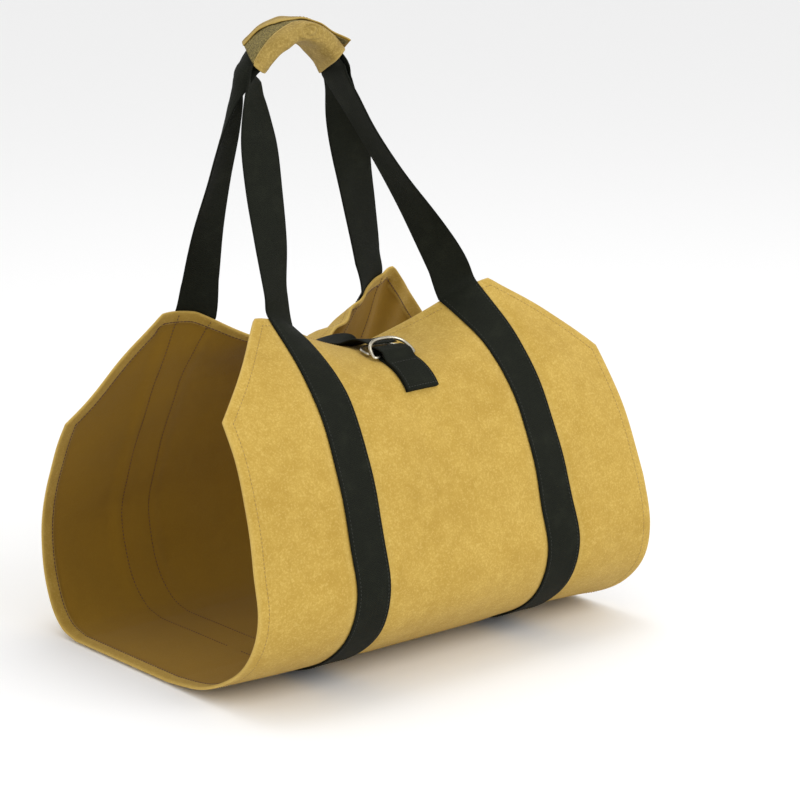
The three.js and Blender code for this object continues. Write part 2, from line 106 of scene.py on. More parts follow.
cornerPlace = strapPlace + halfWebbing + bag["cornerMargin"]
chamferWidth = halfLength - cornerPlace
clearance, webbing, chamfer, hemWidth = (bag[key] for key in ("clearance", "webbing", "chamfer", "hemWidth"))
canvasFloor = webbing + clearance
bothPanels = (frontPanel, backPanel)


def clamp01(value):
    return np.clip(value, 0, 1)


def ease(value, low, high):
    step = clamp01((value - low) / (high - low))
    return step * step * (3 - 2 * step)


def hump(value, centre, width):
    return np.exp(-(((value - centre) / width) ** 2))


def unit(vectors):
    return vectors / np.maximum(np.linalg.norm(vectors, axis=-1, keepdims=True), 1e-12)


def towardsEnd(place):
    return clamp01((np.abs(place) - strapPlace) / (halfLength - strapPlace))


# Section of a panel at each place along X: points (out, up) and their running lengths
def sectionLines(panel, places):
    end = towardsEnd(places)
    depth = halfDepth - np.where(places < 0, panel["leftDraw"], bag["rightDraw"]) * end**2
    flat = panel["flat"] + np.where(places > 0, panel["flatGain"] * end**2, 0)
    top = panel["height"] - np.where(places < 0, panel["leftDrop"] * end, 0)
    bulge = bag["bulgeHeight"]
    points = []
    for angle in np.arange(4) / 4 * math.pi / 2:
        up = canvasFloor + (bulge - canvasFloor) * (1 - math.cos(angle))
        points.append([flat + (depth - flat) * math.sin(angle), up + 0 * depth])
    for out, up in panel["rows"]:
        points.append([panel["reach"] + (depth - panel["reach"]) * out, bulge + (top - bulge) * up])
    points = np.array(points).transpose(2, 0, 1)
    count = points.shape[1]
    along = np.linspace(0, count - 1, count * 12 + 1)
    at = np.minimum(along.astype(int), count - 2)
    w = (along - at)[None, :, None]
    before, start = points[:, np.maximum(at - 1, 0)], points[:, at]
    stop, after = points[:, at + 1], points[:, np.minimum(at + 2, count - 1)]
    v0, v1 = (stop - before) / 2, (after - start) / 2
    fine = (2 * start - 2 * stop + v0 + v1) * w**3
    fine = fine + (-3 * start + 3 * stop - 2 * v0 - v1) * w**2 + v0 * w + start
    fine = np.concatenate([np.broadcast_to([0, canvasFloor], (len(fine), 1, 2)), fine], 1)
    steps = np.linalg.norm(np.diff(fine, axis=1), axis=2)
    lengths = np.concatenate([np.zeros((len(fine), 1)), np.cumsum(steps, 1)], 1)
    return fine, lengths


for panel in bothPanels:
    panel["length"] = float(sectionLines(panel, np.array([strapPlace]))[1][0, -1])


# Outer face of the canvas. shares has a row for each place: -1 front edge, 0 bottom, 1 back edge.
def canvasSurface(places, shares):
    upward = np.abs(shares)
    isFront = shares < 0
    out, up = np.zeros(shares.shape), np.zeros(shares.shape)
    for panel in bothPanels:
        fine, lengths = sectionLines(panel, places)
        mine = isFront if panel["sign"] < 0 else ~isFront
        for row in range(len(places)):
            run = upward[row] * lengths[row, -1]
            out[row] = np.where(mine[row], np.interp(run, lengths[row], fine[row, :, 0]), out[row])
            up[row] = np.where(mine[row], np.interp(run, lengths[row], fine[row, :, 1]), up[row])
    place = places[:, None]
    length = np.where(isFront, frontPanel["length"], backPanel["length"])
    nearEdge = clamp01(1 - (1 - upward) * length / bag["sagLength"]) ** 1.6
    hang = np.sin(clamp01(1 - np.abs(place) / cornerPlace) * math.pi / 2) ** 1.6 * nearEdge
    topDraw = np.where(place < 0, 0, bag["rightTopDraw"] * towardsEnd(place) ** 2)
    out = out - bag["edgeInward"] * hang - topDraw * clamp01((upward - 0.55) / 0.45)
    up = up - bag["edgeSag"] * hang
    converge = bag["strapConverge"] * clamp01((upward - 0.35) / 0.65) ** 1.2
    x = place - converge * np.clip(place / strapPlace, -1, 1)
    return np.stack([x, np.where(isFront, -out, out), up], 2)


# Small relief of the worn cloth over the plain surface
drape = {
    "wave": 0.0011,
    "ripples": [(0.55, 77, 31, 2.1), (0.35, 23, -88, 0.7)],
    "puff": 0.0017,
    "pucker": 0.00030,
    "pleatTurns": 598,
    "pleatReach": 0.007,
    "ridge": 0.0013,
    "ridgeAt": 0.118,
    "ridgeWidth": 0.006,
    "fold": 0.0022,
    "foldAt": 0.078,
    "foldPitch": 0.034,
    "tabDent": 0.0016,
    "dentDown": (0.135, 0.03),
    "dentAcross": (0.012, 0.009),
}


def relief(place, share):
    isFront = share < 0
    length = np.where(isFront, frontPanel["length"], backPanel["length"])
    run = np.abs(share) * length
    fromTop = length - run
    onPanel = ease(run, 0.12, 0.2)
    toStrap = np.abs(np.abs(place) - strapPlace) - halfWebbing
    beside = ease(toStrap, 0, 0.013)
    fromTab = np.abs(place - bag["closureShift"])
    toTab = np.maximum(fromTab - halfWebbing, fromTop - 0.125)
    awayTab = np.where(isFront, ease(toTab, -0.004, 0.012), 1)
    wave = np.sin(place * 41 + 1.3) * np.sin(run * 33 + 0.4)
    for share, across, along, start in drape["ripples"]:
        wave = wave + share * np.sin(place * across + run * along + start)
    height = drape["wave"] * wave * onPanel
    height = height + drape["puff"] * beside * onPanel * ease(fromTop, 0, 0.05) * (0.4 + 0.6 * awayTab)
    pleat = np.sin(run * drape["pleatTurns"] + 2 * np.sin(run * 61))
    pleat = pleat * np.exp(-np.maximum(toStrap, 0) / drape["pleatReach"])
    height = height + drape["pucker"] * pleat * clamp01(toStrap / 0.002) * onPanel
    between = ease(strapPlace - halfWebbing - np.abs(place), 0, 0.03)
    bend = hump(run, drape["ridgeAt"], drape["ridgeWidth"])
    height = height + np.where(isFront, drape["ridge"] * bend * between, 0)
    upper = ease(fromTop, 0.17, 0.03)
    turns = (place - drape["foldAt"]) / drape["foldPitch"]
    folds = np.cos(turns * 2 * math.pi) * ease(place, 0.02, 0.06) * upper
    awayStrap = 1 - ease(np.abs(toStrap + halfWebbing), 0.03, 0.0)
    height = height + np.where(isFront, 0, drape["fold"] * folds * awayStrap)
    under = hump(fromTop, *drape["dentDown"]) * hump(fromTab, *drape["dentAcross"])
    return height - np.where(isFront, drape["tabDent"] * under * ease(fromTop, 0.104, 0.12), 0)


# Points of the cloth raised off its outer face, with their normals
def clothPoints(places, shares, off=0.0, withRelief=1.0):
    places = np.asarray(places, float)
    shares = np.broadcast_to(np.asarray(shares, float), (len(places), np.shape(shares)[-1]))
    side, step = 0.0005, 0.001
    across = canvasSurface(places + side, shares) - canvasSurface(places - side, shares)
    low, high = np.maximum(shares - step, -1), np.minimum(shares + step, 1)
    # Both ends stay on one panel's side, so the bottom's middle keeps its normal
    along = canvasSurface(places, high) - canvasSurface(places, low)
    normals = unit(np.cross(along, across))
    lift = off + withRelief * relief(places[:, None], shares)
    return canvasSurface(places, shares) + normals * lift[..., None], normals


# Scattered points: one share for each place
def clothLine(places, shares, off, inner=False):
    places, shares = np.asarray(places, float), np.asarray(shares, float)
    points, normals = clothPoints(places, shares[:, None])
    points, normals = points[:, 0], normals[:, 0]
    if inner:
        return points - normals * (clothThickness(places, shares) + off)[:, None], normals
    return points + normals * off, normals


# How far a place is along the chamfer, from the top's corner to the end of the sheet
def alongChamfer(place):
    return clamp01((np.abs(place) - cornerPlace) / chamferWidth)


# Distance to the nearest cut edge of the sheet
def edgeDistance(place, share):
    panelLength = np.where(share < 0, frontPanel["length"], backPanel["length"])
    drop = panelLength * (1 - np.abs(share)) - chamfer * alongChamfer(place)
    slope = math.cos(math.atan2(chamfer, chamferWidth))
    toTop = np.where(np.abs(place) > cornerPlace, drop * slope, drop)
    return np.minimum(halfLength - np.abs(place), np.maximum(toTop, 0))


def clothThickness(place, share):
    inHem = ease(edgeDistance(place, share), hemWidth + 0.0012, hemWidth - 0.0006)
    return bag["canvas"] + (bag["hem"] - bag["canvas"]) * inHem


def meshObject(name, vertices, faces, uv=None, smooth=True, attributes=None):
    mesh = bpy.data.meshes.new(name)
    mesh.from_pydata(np.asarray(vertices, float).reshape(-1, 3).tolist(), [], [list(f) for f in faces])
    if uv is not None:
        layer = mesh.uv_layers.new(name="cloth")
        loops = np.zeros(len(mesh.loops), np.int32)
        mesh.loops.foreach_get("vertex_index", loops)
        layer.data.foreach_set("uv", np.asarray(uv, np.float32).reshape(-1, 2)[loops].ravel())
    for key, values in (attributes or {}).items():
        mesh.attributes.new(key, "FLOAT", "POINT").data.foreach_set("value", np.asarray(values, np.float32).ravel())
    mesh.polygons.foreach_set("use_smooth", [smooth] * len(mesh.polygons))
    made = bpy.data.objects.new(name, mesh)
    bpy.context.scene.collection.objects.link(made)
    return made


# Quads of a closed mesh, all turned over where they enclose a negative volume
def outward(vertices, faces):
    a, b, c, d = (vertices[faces[:, k]] for k in range(4))
    turn = np.cross(b - a, c - a) + np.cross(c - a, d - a)
    return faces[:, ::-1] if (vertices[faces].mean(1) * turn).sum() < 0 else faces


# Closed cloth from the grids of its two faces, joined round the border
def sheetObject(name, near, far, uv, attributes=None, nearShade=1.0):
    rows, columns = near.shape[:2]
    index = np.arange(rows * columns).reshape(rows, columns)
    a, b, c, d = index[:-1, :-1], index[1:, :-1], index[1:, 1:], index[:-1, 1:]
    top = np.stack([a, b, c, d], -1).reshape(-1, 4)
    under = np.stack([a, d, c, b], -1).reshape(-1, 4) + rows * columns
    border = np.concatenate([index[0, :], index[1:, -1], index[-1, -2::-1], index[-2:0:-1, 0]])
    following = np.roll(border, -1)
    rim = np.stack([border, following, following + rows * columns, border + rows * columns], -1)
    faces = np.concatenate([top, under, rim])
    vertices = np.concatenate([near.reshape(-1, 3), far.reshape(-1, 3)])
    faces = outward(vertices, faces)
    both = {key: np.concatenate([np.ravel(v), np.ravel(v)]) for key, v in (attributes or {}).items()}
    # The near face carries the inner mask, where the canvas finish paints the inside's shade
    shade = np.broadcast_to(nearShade, (rows, columns)).ravel()
    both["inner"] = np.concatenate([shade, 0 * shade])
    return meshObject(name, vertices, faces.tolist(), np.concatenate([uv.reshape(-1, 2)] * 2), True, both)


# How far both faces draw in at a distance from an edge, so that the edge is round
def edgeRound(distance, thickness):
    radius = thickness * 0.5
    inward = clamp01(1 - distance / radius)
    return radius * 0.86 * (1 - np.sqrt(1 - inward**2))


# One node: its type, its settings first, then the values or links of its sockets
def addNode(tree, kind, settings=None, inputs=None):
    node = tree.nodes.new(kind)
    for key, value in (settings or {}).items():
        setattr(node, key, value)
    for key, value in (inputs or {}).items():
        value = getattr(value, "socket", value)
        if isinstance(value, bpy.types.NodeSocket):
            tree.links.new(value, node.inputs[key])
        else:
            node.inputs[key].default_value = value
    return node


# Shader maths: an expression on sockets adds the nodes that work it out
class Wire:
    def __init__(self, maker, socket):
        self.maker, self.socket = maker, socket

    def math(self, operation, *values):
        return self.maker.add("ShaderNodeMath", {"operation": operation}, dict(enumerate(values)))

    def __add__(self, other):
        return self.math("ADD", self, other)

    def __mul__(self, other):
        return self.math("MULTIPLY", self, other)

    __radd__, __rmul__ = __add__, __mul__

    def sine(self):
        return self.math("SINE", self)

    def size(self):
        return self.math("ABSOLUTE", self)

    def above(self, low, high):
        settings = {"interpolation_type": "SMOOTHSTEP"}
        return self.maker.add("ShaderNodeMapRange", settings, {"Value": self, "From Min": low, "From Max": high})


class Finish:
    def __init__(self, name):
        self.material = bpy.data.materials.new(name)
        self.material.use_nodes = True
        self.tree = self.material.node_tree
        self.tree.nodes.clear()

    def add(self, kind, settings=None, inputs=None, output=0):
        node = addNode(self.tree, kind, settings, inputs)
        return Wire(self, node.outputs[output]) if node.outputs else None

    def noise(self, vector, scale, detail=3.0, roughness=0.55):
        inputs = {"Vector": vector, "Scale": scale, "Detail": detail, "Roughness": roughness}
        return self.add("ShaderNodeTexNoise", {}, inputs)

    # Noise with its own scale along each axis
    def stretched(self, vector, scales):
        return self.noise(self.add("ShaderNodeMapping", {}, {"Vector": vector, "Scale": scales}), 1.0, 2.0)

    def mix(self, factor, first, second, blend="MIX"):
        first = (*first, 1) if isinstance(first, tuple) else first
        second = (*second, 1) if isinstance(second, tuple) else second
        settings = {"data_type": "RGBA", "blend_type": blend}
        return self.add("ShaderNodeMix", settings, {0: factor, 6: first, 7: second}, 2)

    def bump(self, height, strength, distance, normal=None):
        inputs = {"Height": height, "Strength": strength, "Distance": distance}
        if normal is not None:
            inputs["Normal"] = normal
        return self.add("ShaderNodeBump", {}, inputs)

    def objectPlace(self):
        return self.add("ShaderNodeTexCoord", {}, {}, "Object")

    def clothPlace(self):
        uv = self.add("ShaderNodeUVMap", {"uv_map": "cloth"})
        across = self.add("ShaderNodeSeparateXYZ", {}, {0: uv}, "X")
        along = self.add("ShaderNodeSeparateXYZ", {}, {0: uv}, "Y")
        return uv, across, along

    def attribute(self, name):
        return self.add("ShaderNodeAttribute", {"attribute_name": name}, {}, "Fac")

    def surface(self, inputs):
        shader = self.add("ShaderNodeBsdfPrincipled", {}, inputs)
        self.add("ShaderNodeOutputMaterial", {}, {"Surface": shader})
        return self.material


# Waxed canvas: mottled brushed face, plain weave, lighter where folds and edges wear, with a painted highlight along
# the edges and beside the straps; the inside face gets painted shade
canvasLook = {
    "light": (0.560, 0.378, 0.086),
    "mid": (0.510, 0.335, 0.068),
    "dark": (0.425, 0.268, 0.046),
    "rubbed": (0.640, 0.455, 0.135),
    # inner: colour of the painted shade on the inside face
    "inner": (0.360, 0.222, 0.022),
    "threadPitch": 0.00085,
    "patchScale": 14.0,
    "napScale": 520.0,
    "slub": (1500, 60, 1),
    "weaveBump": (0.42, 0.00045),
    "blotchBump": (0.35, 0.0012),
}


def canvasFinish(name, look):
    shader = Finish(name)
    place = shader.objectPlace()
    uv, across, along = shader.clothPlace()
    turns = 2 * math.pi / look["threadPitch"]
    weave = (across * turns).sine() * (along * turns).sine()
    slub = shader.stretched(uv, look["slub"])
    patches = shader.noise(place, look["patchScale"], 4.0, 0.6)
    blotches = shader.noise(place, look["patchScale"] * 4.5, 3.0, 0.6)
    nap = shader.noise(place, look["napScale"], 2.0, 0.7)
    colour = shader.mix(patches.above(0.36, 0.66), look["dark"], look["mid"])
    flecks = shader.noise(place, look["napScale"] * 0.32, 3.0, 0.7)
    for pattern, low, high, share, tint in (
        (blotches, 0.3, 0.72, 0.75, "light"),
        (flecks, 0.42, 0.68, 0.42, "dark"),
        (nap, 0.36, 0.66, 0.50, "dark"),
        (nap, 0.50, 0.30, 0.42, "rubbed"),
        # This mask paints wear and a painted highlight along edges and beside the straps
        (shader.attribute("rub"), 0.0, 1.0, 0.42, "rubbed"),
    ):
        colour = shader.mix(pattern.above(low, high) * share, colour, look[tint])
    # Painted shade: the inside face is darkened towards a deep brown, as if in the bag's own shade
    shaded = shader.mix(1.0, colour, look["inner"], "MULTIPLY")
    shaded = shader.mix(0.5, shaded, look["inner"])
    colour = shader.mix(shader.attribute("inner"), colour, shaded)
    relief = weave * 0.35 + nap * 0.9 + slub * 0.35
    fine = shader.bump(relief, *look["weaveBump"])
    return shader.surface({
        "Base Color": colour,
        "Roughness": (nap * 0.16 + 0.74),
        "Specular IOR Level": 0.15,
        "Sheen Weight": 0.06,
        "Sheen Roughness": 0.5,
        "Normal": shader.bump(blotches, *look["blotchBump"], fine),
    })


# Webbing: fine ribs in a herringbone, darker woven edges
webbingLook = {
    "face": (0.0092, 0.0108, 0.0060),
    "deep": (0.0040, 0.0048, 0.0026),
    "worn": (0.0205, 0.0230, 0.0138),
    "ribPitch": 0.0021,
    "halfWidth": 0.019,
}


def webbingFinish(name, look):
    shader = Finish(name)
    place = shader.objectPlace()
    uv, across, along = shader.clothPlace()
    turns = 2 * math.pi / look["ribPitch"]
    zigzag = (across * (math.pi / 0.0042)).sine().size() * 0.0016
    ribs = ((along + zigzag) * turns).sine()
    cords = (across * (turns * 1.9)).sine()
    nap = shader.noise(place, 700.0, 2.0, 0.7)
    wear = shader.noise(place, 60.0, 4.0, 0.6)
    colour = shader.mix(nap.above(0.34, 0.66) * 0.75, look["deep"], look["face"])
    colour = shader.mix(wear.above(0.45, 0.8) * 0.35, colour, look["worn"])
    colour = shader.mix((ribs * 0.5 + 0.5) * 0.16, colour, look["worn"])
    selvedge = (across.size() * (1 / look["halfWidth"])).above(0.86, 0.95)
    colour = shader.mix(selvedge * 0.6, colour, look["deep"])
    fine = shader.bump(ribs * 0.6 + cords * 0.25 + nap * 0.7, 0.5, 0.0003)
    return shader.surface({
        "Base Color": colour,
        "Roughness": (nap * 0.2 + 0.66),
        "Specular IOR Level": 0.12,
        "Normal": shader.bump(wear, 0.3, 0.0006, fine),
    })


def threadFinish(name, colour):
    shader = Finish(name)
    nap = shader.noise(shader.objectPlace(), 1600.0, 2.0)
    darker = tuple(0.62 * part for part in colour)
    return shader.surface({
        "Base Color": shader.mix(nap, darker, colour),
        "Roughness": 0.62,
        "Normal": shader.bump(nap, 0.4, 0.0002),
    })


def tapeFinish(name):
    shader = Finish(name)
    place = shader.objectPlace()
    loops = shader.add("ShaderNodeTexVoronoi", {"feature": "F1"}, {"Vector": place, "Scale": 900.0})
    nap = shader.noise(place, 500.0, 3.0, 0.7)
    colour = shader.mix(loops.above(0.1, 0.75), (0.250, 0.195, 0.052), (0.080, 0.060, 0.015))
    colour = shader.mix(nap.above(0.4, 0.7) * 0.5, colour, (0.360, 0.275, 0.085))
    return shader.surface({
        "Base Color": colour,
        "Roughness": 0.95,
        "Normal": shader.bump(loops * -1.0 + nap, 0.8, 0.0008),
    })


def steelFinish(name):
    shader = Finish(name)
    place = shader.objectPlace()
    smear = shader.noise(place, 90.0, 3.0)
    scratch = shader.stretched(place, (300, 2600, 2600))
    return shader.surface({
        "Base Color": shader.mix(smear.above(0.4, 0.7), (0.54, 0.50, 0.40), (0.34, 0.31, 0.24)),
        "Metallic": 1.0,
        "Roughness": smear * 0.22 + 0.18,
        "Normal": shader.bump(scratch, 0.12, 0.0001),
    })


# The grip's canvas has darker, browner colours than the panels
gripLook = dict(canvasLook)
gripLook.update(
    light=(0.440, 0.310, 0.092),
    mid=(0.345, 0.236, 0.060),
    dark=(0.235, 0.154, 0.032),
    rubbed=(0.52, 0.37, 0.11),
)
finishes = {
    "canvas": canvasFinish("waxed_canvas", canvasLook),
    "grip": canvasFinish("grip_canvas", gripLook),
    "webbing": webbingFinish("webbing_cloth", webbingLook),
    "tan": threadFinish("tan_thread", (0.420, 0.275, 0.075)),
    "brown": threadFinish("brown_thread", (0.115, 0.048, 0.024)),
    "dark": threadFinish("dark_thread", (0.017, 0.019, 0.012)),
    "tape": tapeFinish("loop_tape"),
    "steel": steelFinish("ring_steel"),
}
print("finishes made:", len(finishes))


def finishPiece(piece, finish, slot, *nodes):
    piece.data.materials.clear()
    piece.data.materials.append(finishes[finish])
    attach(piece, body)
    if nodes:
        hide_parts(*nodes)
    return piece


# Canvas sheet: a fine grid with the hem's thickness, rounded edges and the relief
canvasGrid = {"step": 0.0036, "edgeRows": (0.0, 0.0003, 0.0008, 0.0015)}


def gridPlaces():
    inner = halfLength - hemWidth
    regular = np.linspace(-inner + 0.0012, inner - 0.0012, int(2 * inner / canvasGrid["step"]))
    hem = [halfLength - d for d in canvasGrid["edgeRows"]] + [halfLength - 0.005, halfLength - 0.0095, inner + 0.0006]
    return np.array(sorted([-place for place in hem] + list(regular) + hem))


def gridShares():
    rows = []
    for panel in bothPanels:
        length = panel["length"]
        count = int((length - hemWidth) / canvasGrid["step"])
        regular = list(np.linspace(0.0, length - hemWidth - 0.0012, count))
        hem = [length - d for d in canvasGrid["edgeRows"]]
        hem += [length - 0.005, length - 0.0095, length - hemWidth + 0.0006]
        rows += [panel["sign"] * run / length for run in regular + hem]
    return np.array(sorted(set(rows)))


# Rows above the middle of a panel close up under the chamfer, and those next to the edge keep their distance to it
def trimmedShares(places, shares):
    result = np.zeros((len(places), len(shares)))
    for panel in bothPanels:
        mine = shares < 0 if panel["sign"] < 0 else shares >= 0
        upward = np.abs(shares)[None, :]
        top = 1 - chamfer * alongChamfer(places)[:, None] / panel["length"]
        closed = np.where(upward > 0.5, 0.5 + (upward - 0.5) * (top - 0.5) / 0.5, upward)
        result = np.where(mine[None, :], panel["sign"] * closed, result)
    return result


places = gridPlaces()
shares = trimmedShares(places, gridShares())
outer, normals = clothPoints(places, shares)
distance = edgeDistance(places[:, None], shares)
thickness = clothThickness(places[:, None], shares)
drawIn = edgeRound(distance, bag["hem"])
inner = outer - normals * (thickness - drawIn)[..., None]
outer = outer - normals * drawIn[..., None]
running = np.where(shares < 0, shares * frontPanel["length"], shares * backPanel["length"])
clothUv = np.stack([places[:, None] + 0 * shares + 0.25, running + 0.5], 2)
# Lighter along the cut edges and beside the straps: wear, and a painted highlight where the hem's edge and the puffed
# cloth beside the straps catch light
toStrap = np.abs(np.abs(places[:, None]) - strapPlace) - halfWebbing
besideStraps = 0.55 * hump(toStrap, 0.003, 0.0025) * (toStrap > 0)
rub = np.maximum(ease(distance, 0.0035, 0.0), besideStraps)
# Mask of the painted shade on the inside face: full on the body, a third of it on the hem, which is folded to the
# inside, so its inner face has the outer colour
insideShadeMask = 1 - 0.68 * ease(distance, hemWidth + 0.0012, hemWidth - 0.0006)
canvasPiece = sheetObject("canvas_sheet", inner, outer, clothUv, {"rub": rub}, insideShadeMask)
finishPiece(canvasPiece, "canvas", "canvas", "canvas_body")
print("canvas sheet:", len(canvasPiece.data.polygons), "faces")


# A smooth line through points, with other values carried along it
def smoothLine(data, spacing):
    points = np.vstack([2 * data[0] - data[1], data, 2 * data[-1] - data[-2]])
    result = []
    for index in range(1, len(points) - 2):
        p0, p1, p2, p3 = points[index - 1 : index + 3]
        gaps = [max(np.linalg.norm((b - a)[:3]) ** 0.5, 1e-4) for a, b in ((p0, p1), (p1, p2), (p2, p3))]
        d0, d1, d2 = gaps
        t1 = ((p1 - p0) / d0 - (p2 - p0) / (d0 + d1) + (p2 - p1) / d1) * d1
        t2 = ((p2 - p1) / d1 - (p3 - p1) / (d1 + d2) + (p3 - p2) / d2) * d1
        count = max(int(np.linalg.norm((p2 - p1)[:3]) / spacing), 2)
        t = np.linspace(0, 1, count, endpoint=False)[:, None]
        result.append(p1 + t1 * t + (-3 * p1 + 3 * p2 - 2 * t1 - t2) * t**2 + (2 * p1 - 2 * p2 + t1 + t2) * t**3)
    return np.vstack(result + [points[-2:-1]])


# Webbing ribbon: offsets across it, and how far both faces draw in there
ribbon = {
    "across": np.array([-19, -18.6, -17.8, -14, -9.5, -4.75, 0, 4.75, 9.5, 14, 17.8, 18.6, 19]) / 1000,
    "spacing": 0.003,
    "selvedge": 0.00012,
}


def ribbonObject(name, near, normals, across=ribbon["across"]):
    retreat = edgeRound(halfWebbing - np.abs(across), webbing)
    selvedge = ribbon["selvedge"] * hump(np.abs(across), 0.0172, 0.0011)
    low = near + normals * retreat[None, :, None]
    high = near + normals * (webbing - retreat + selvedge)[None, :, None]
    middle = near[:, len(across) // 2]
    along = np.concatenate([[0], np.cumsum(np.linalg.norm(np.diff(middle, axis=0), axis=1))])
    uv = np.stack(np.broadcast_arrays(across[None, :], along[:, None]), 2)
    # The cut ends are rounded as well
    for end, beside in ((0, 1), (-1, -2)):
        centre = (low[end] + high[end]) / 2
        low[end] = low[end] + (centre - low[end]) * 0.5
        high[end] = high[end] + (centre - high[end]) * 0.5
    return sheetObject(name, low, high, uv)


grip = {
    "height": 0.564,
    "rise": 0.030,
    "drop": 0.008,
    "span": 0.093,
    "shift": -0.0375,
    "back": 0.022,
    "width": 0.049,
    "thickness": 0.017,
    "canvas": 0.0024,
    "layerGap": 0.0038,
    "inset": (0.034, 0.988),
}


def gripPoint(at):
    at = np.asarray(at, float)
    x = grip["shift"] + grip["span"] * (at - 0.5)
    z = grip["height"] - grip["rise"] * (2 * at - 1) ** 2 - grip["drop"] * (at - 0.5)
    return np.stack([x, np.full_like(at, grip["back"]), z], -1)


def gripTangent(at):
    return unit(gripPoint(np.asarray(at) + 0.01) - gripPoint(np.asarray(at) - 0.01))


def gripUp(at):
    return np.cross(gripTangent(at), [0.0, 1.0, 0.0])


# Free legs, from the panel's edge up to the grip: share of the way, bow to +X and to the front
# as shares of the leg's length, turn of the width from +X towards the front, and the curl
# across the width as half the angle of its arc
legs = {
    "frontLeft": [(0.12, -0.03, 0.02, -22, 0), (0.32, -0.033, 0.03, -5, 0.1), (0.52, -0.037, 0.03, 5, 0.15),
                  (0.68, -0.032, 0.022, 4, 0.1), (0.80, -0.028, 0.016, -15, 0), (0.89, -0.026, 0.012, -31, -0.2),
                  (0.96, -0.013, 0.008, -42, -0.3)],
    "frontRight": [(0.12, 0.005, 0.02, 42, 0), (0.32, 0.007, 0.02, 70, -0.1), (0.52, 0.001, 0.01, 90, -0.15),
                   (0.72, -0.005, 0, 96, -0.1), (0.86, -0.008, 0, 92, 0), (0.96, -0.008, 0, 90, 0)],
    "backLeft": [(0.12, 0, -0.01, 10, 0), (0.32, -0.01, -0.02, -6, 0.15), (0.52, -0.015, -0.02, -20, 0.35),
                 (0.72, -0.026, -0.01, -28, 0.6), (0.86, -0.038, 0, -46, 0.9), (0.96, -0.032, 0, -82, 0.8)],
    "backRight": [(0.12, 0.018, -0.01, -14, 0), (0.32, 0.018, -0.01, -6, 0.1), (0.52, 0.008, 0, 6, 0.15),
                  (0.72, 0.009, 0, 42, 0.2), (0.86, 0.006, 0, 80, 0.1), (0.96, -0.002, 0, 88, 0)],
}


def panelStations(panel, place):
    count = int(panel["length"] / ribbon["spacing"])
    ups = np.concatenate([[clearance / 2 / panel["length"]], np.linspace(0.006, 1, count)]) * panel["sign"]
    points, normals = clothPoints(place + ribbon["across"], ups, clearance)
    return points.transpose(1, 0, 2), normals.transpose(1, 0, 2)


def handleLoop(name, panel, leftRows, rightRows):
    sign = panel["sign"]
    middle = len(ribbon["across"]) // 2
    left, leftNormals = panelStations(panel, -strapPlace)
    right, rightNormals = panelStations(panel, strapPlace)
    at = np.linspace(0, 1, 12)
    over = gripPoint(at) + gripUp(at) * sign * grip["layerGap"] / 2

    def edgeTurn(rows):
        across = rows[-1, -1] - rows[-1, 0]
        return math.degrees(math.atan2(-across[1], across[0]))

    def legControls(strap, end, rows):
        edge, turned = strap[-1, middle], edgeTurn(strap)
        line = end - edge
        length = np.linalg.norm(line)
        controls = [(strap[-14, middle], turned, 0), (edge, turned, 0)]
        for a, side, front, turn, curl in rows:
            controls.append((edge + line * a + np.array([side * length, -front * length, 0]), turn, curl))
        return controls

    up = legControls(left, over[0], leftRows)
    down = legControls(right, over[-1], rightRows)
    # The front loop only turns flat inside the grip
    twist = 24 if sign < 0 else 0
    held = []
    for a, point in zip(at, over):
        held.append((point, -90.0 + twist * float(ease(a, 0.14, 0.0)), sign * 0.6 * float(ease(a, 0.4, 0.0))))
    controls = up + held + [(point, turn - 180, curl) for point, turn, curl in down[::-1]]
    line = smoothLine(np.array([[*point, turn, curl] for point, turn, curl in controls]), ribbon["spacing"])
    start = int(np.argmin(np.linalg.norm(line[:, :3] - left[-1, middle], axis=1)))
    stop = int(np.argmin(np.linalg.norm(line[:, :3] - right[-1, middle], axis=1)))
    tangents = unit(np.gradient(line[:, :3], axis=0))
    angle = np.radians(line[:, 3])
    across = np.stack([np.cos(angle), -np.sin(angle), 0 * angle], 1)
    across = unit(across - tangents * (across * tangents).sum(1, keepdims=True))
    normal = -sign * np.cross(across, tangents)
    bend = line[:, 4:] / halfWebbing + 1e-6
    swing = bend * ribbon["across"][None, :]
    rise = (np.cos(swing) - np.sin(bend * halfWebbing) / (bend * halfWebbing)) / bend
    free = line[:, None, :3] + across[:, None] * (np.sin(swing) / bend)[..., None] + normal[:, None] * rise[..., None]
    normal = normal[:, None] * np.cos(swing)[..., None] + across[:, None] * np.sin(swing)[..., None]
    free, normal = free[start + 1 : stop], normal[start + 1 : stop]
    # Next to the panels the free part takes over their surface little by little
    for k in range(8):
        keep = 1 - (k + 1) / 9
        first = left[-1] + (free[k, middle] - left[-1, middle])
        last = right[-1, ::-1] + (free[-1 - k, middle] - right[-1, middle])
        free[k] = first * keep + free[k] * (1 - keep)
        free[-1 - k] = last * keep + free[-1 - k] * (1 - keep)
        normal[k] = unit(leftNormals[-1] * keep + normal[k] * (1 - keep))
        normal[-1 - k] = unit(rightNormals[-1, ::-1] * keep + normal[-1 - k] * (1 - keep))
    near = np.concatenate([left, free, right[::-1, ::-1]])
    allNormals = np.concatenate([leftNormals, normal, rightNormals[::-1, ::-1]])
    return ribbonObject(name, near, allNormals)


frontLoop = handleLoop("front_loop", frontPanel, legs["frontLeft"], legs["frontRight"])
backLoop = handleLoop("back_loop", backPanel, legs["backLeft"], legs["backRight"])
finishPiece(frontLoop, "webbing", "webbing", "front_webbing")
finishPiece(backLoop, "webbing", "webbing", "back_webbing")
print("webbing loops:", len(frontLoop.data.polygons) + len(backLoop.data.polygons), "faces")


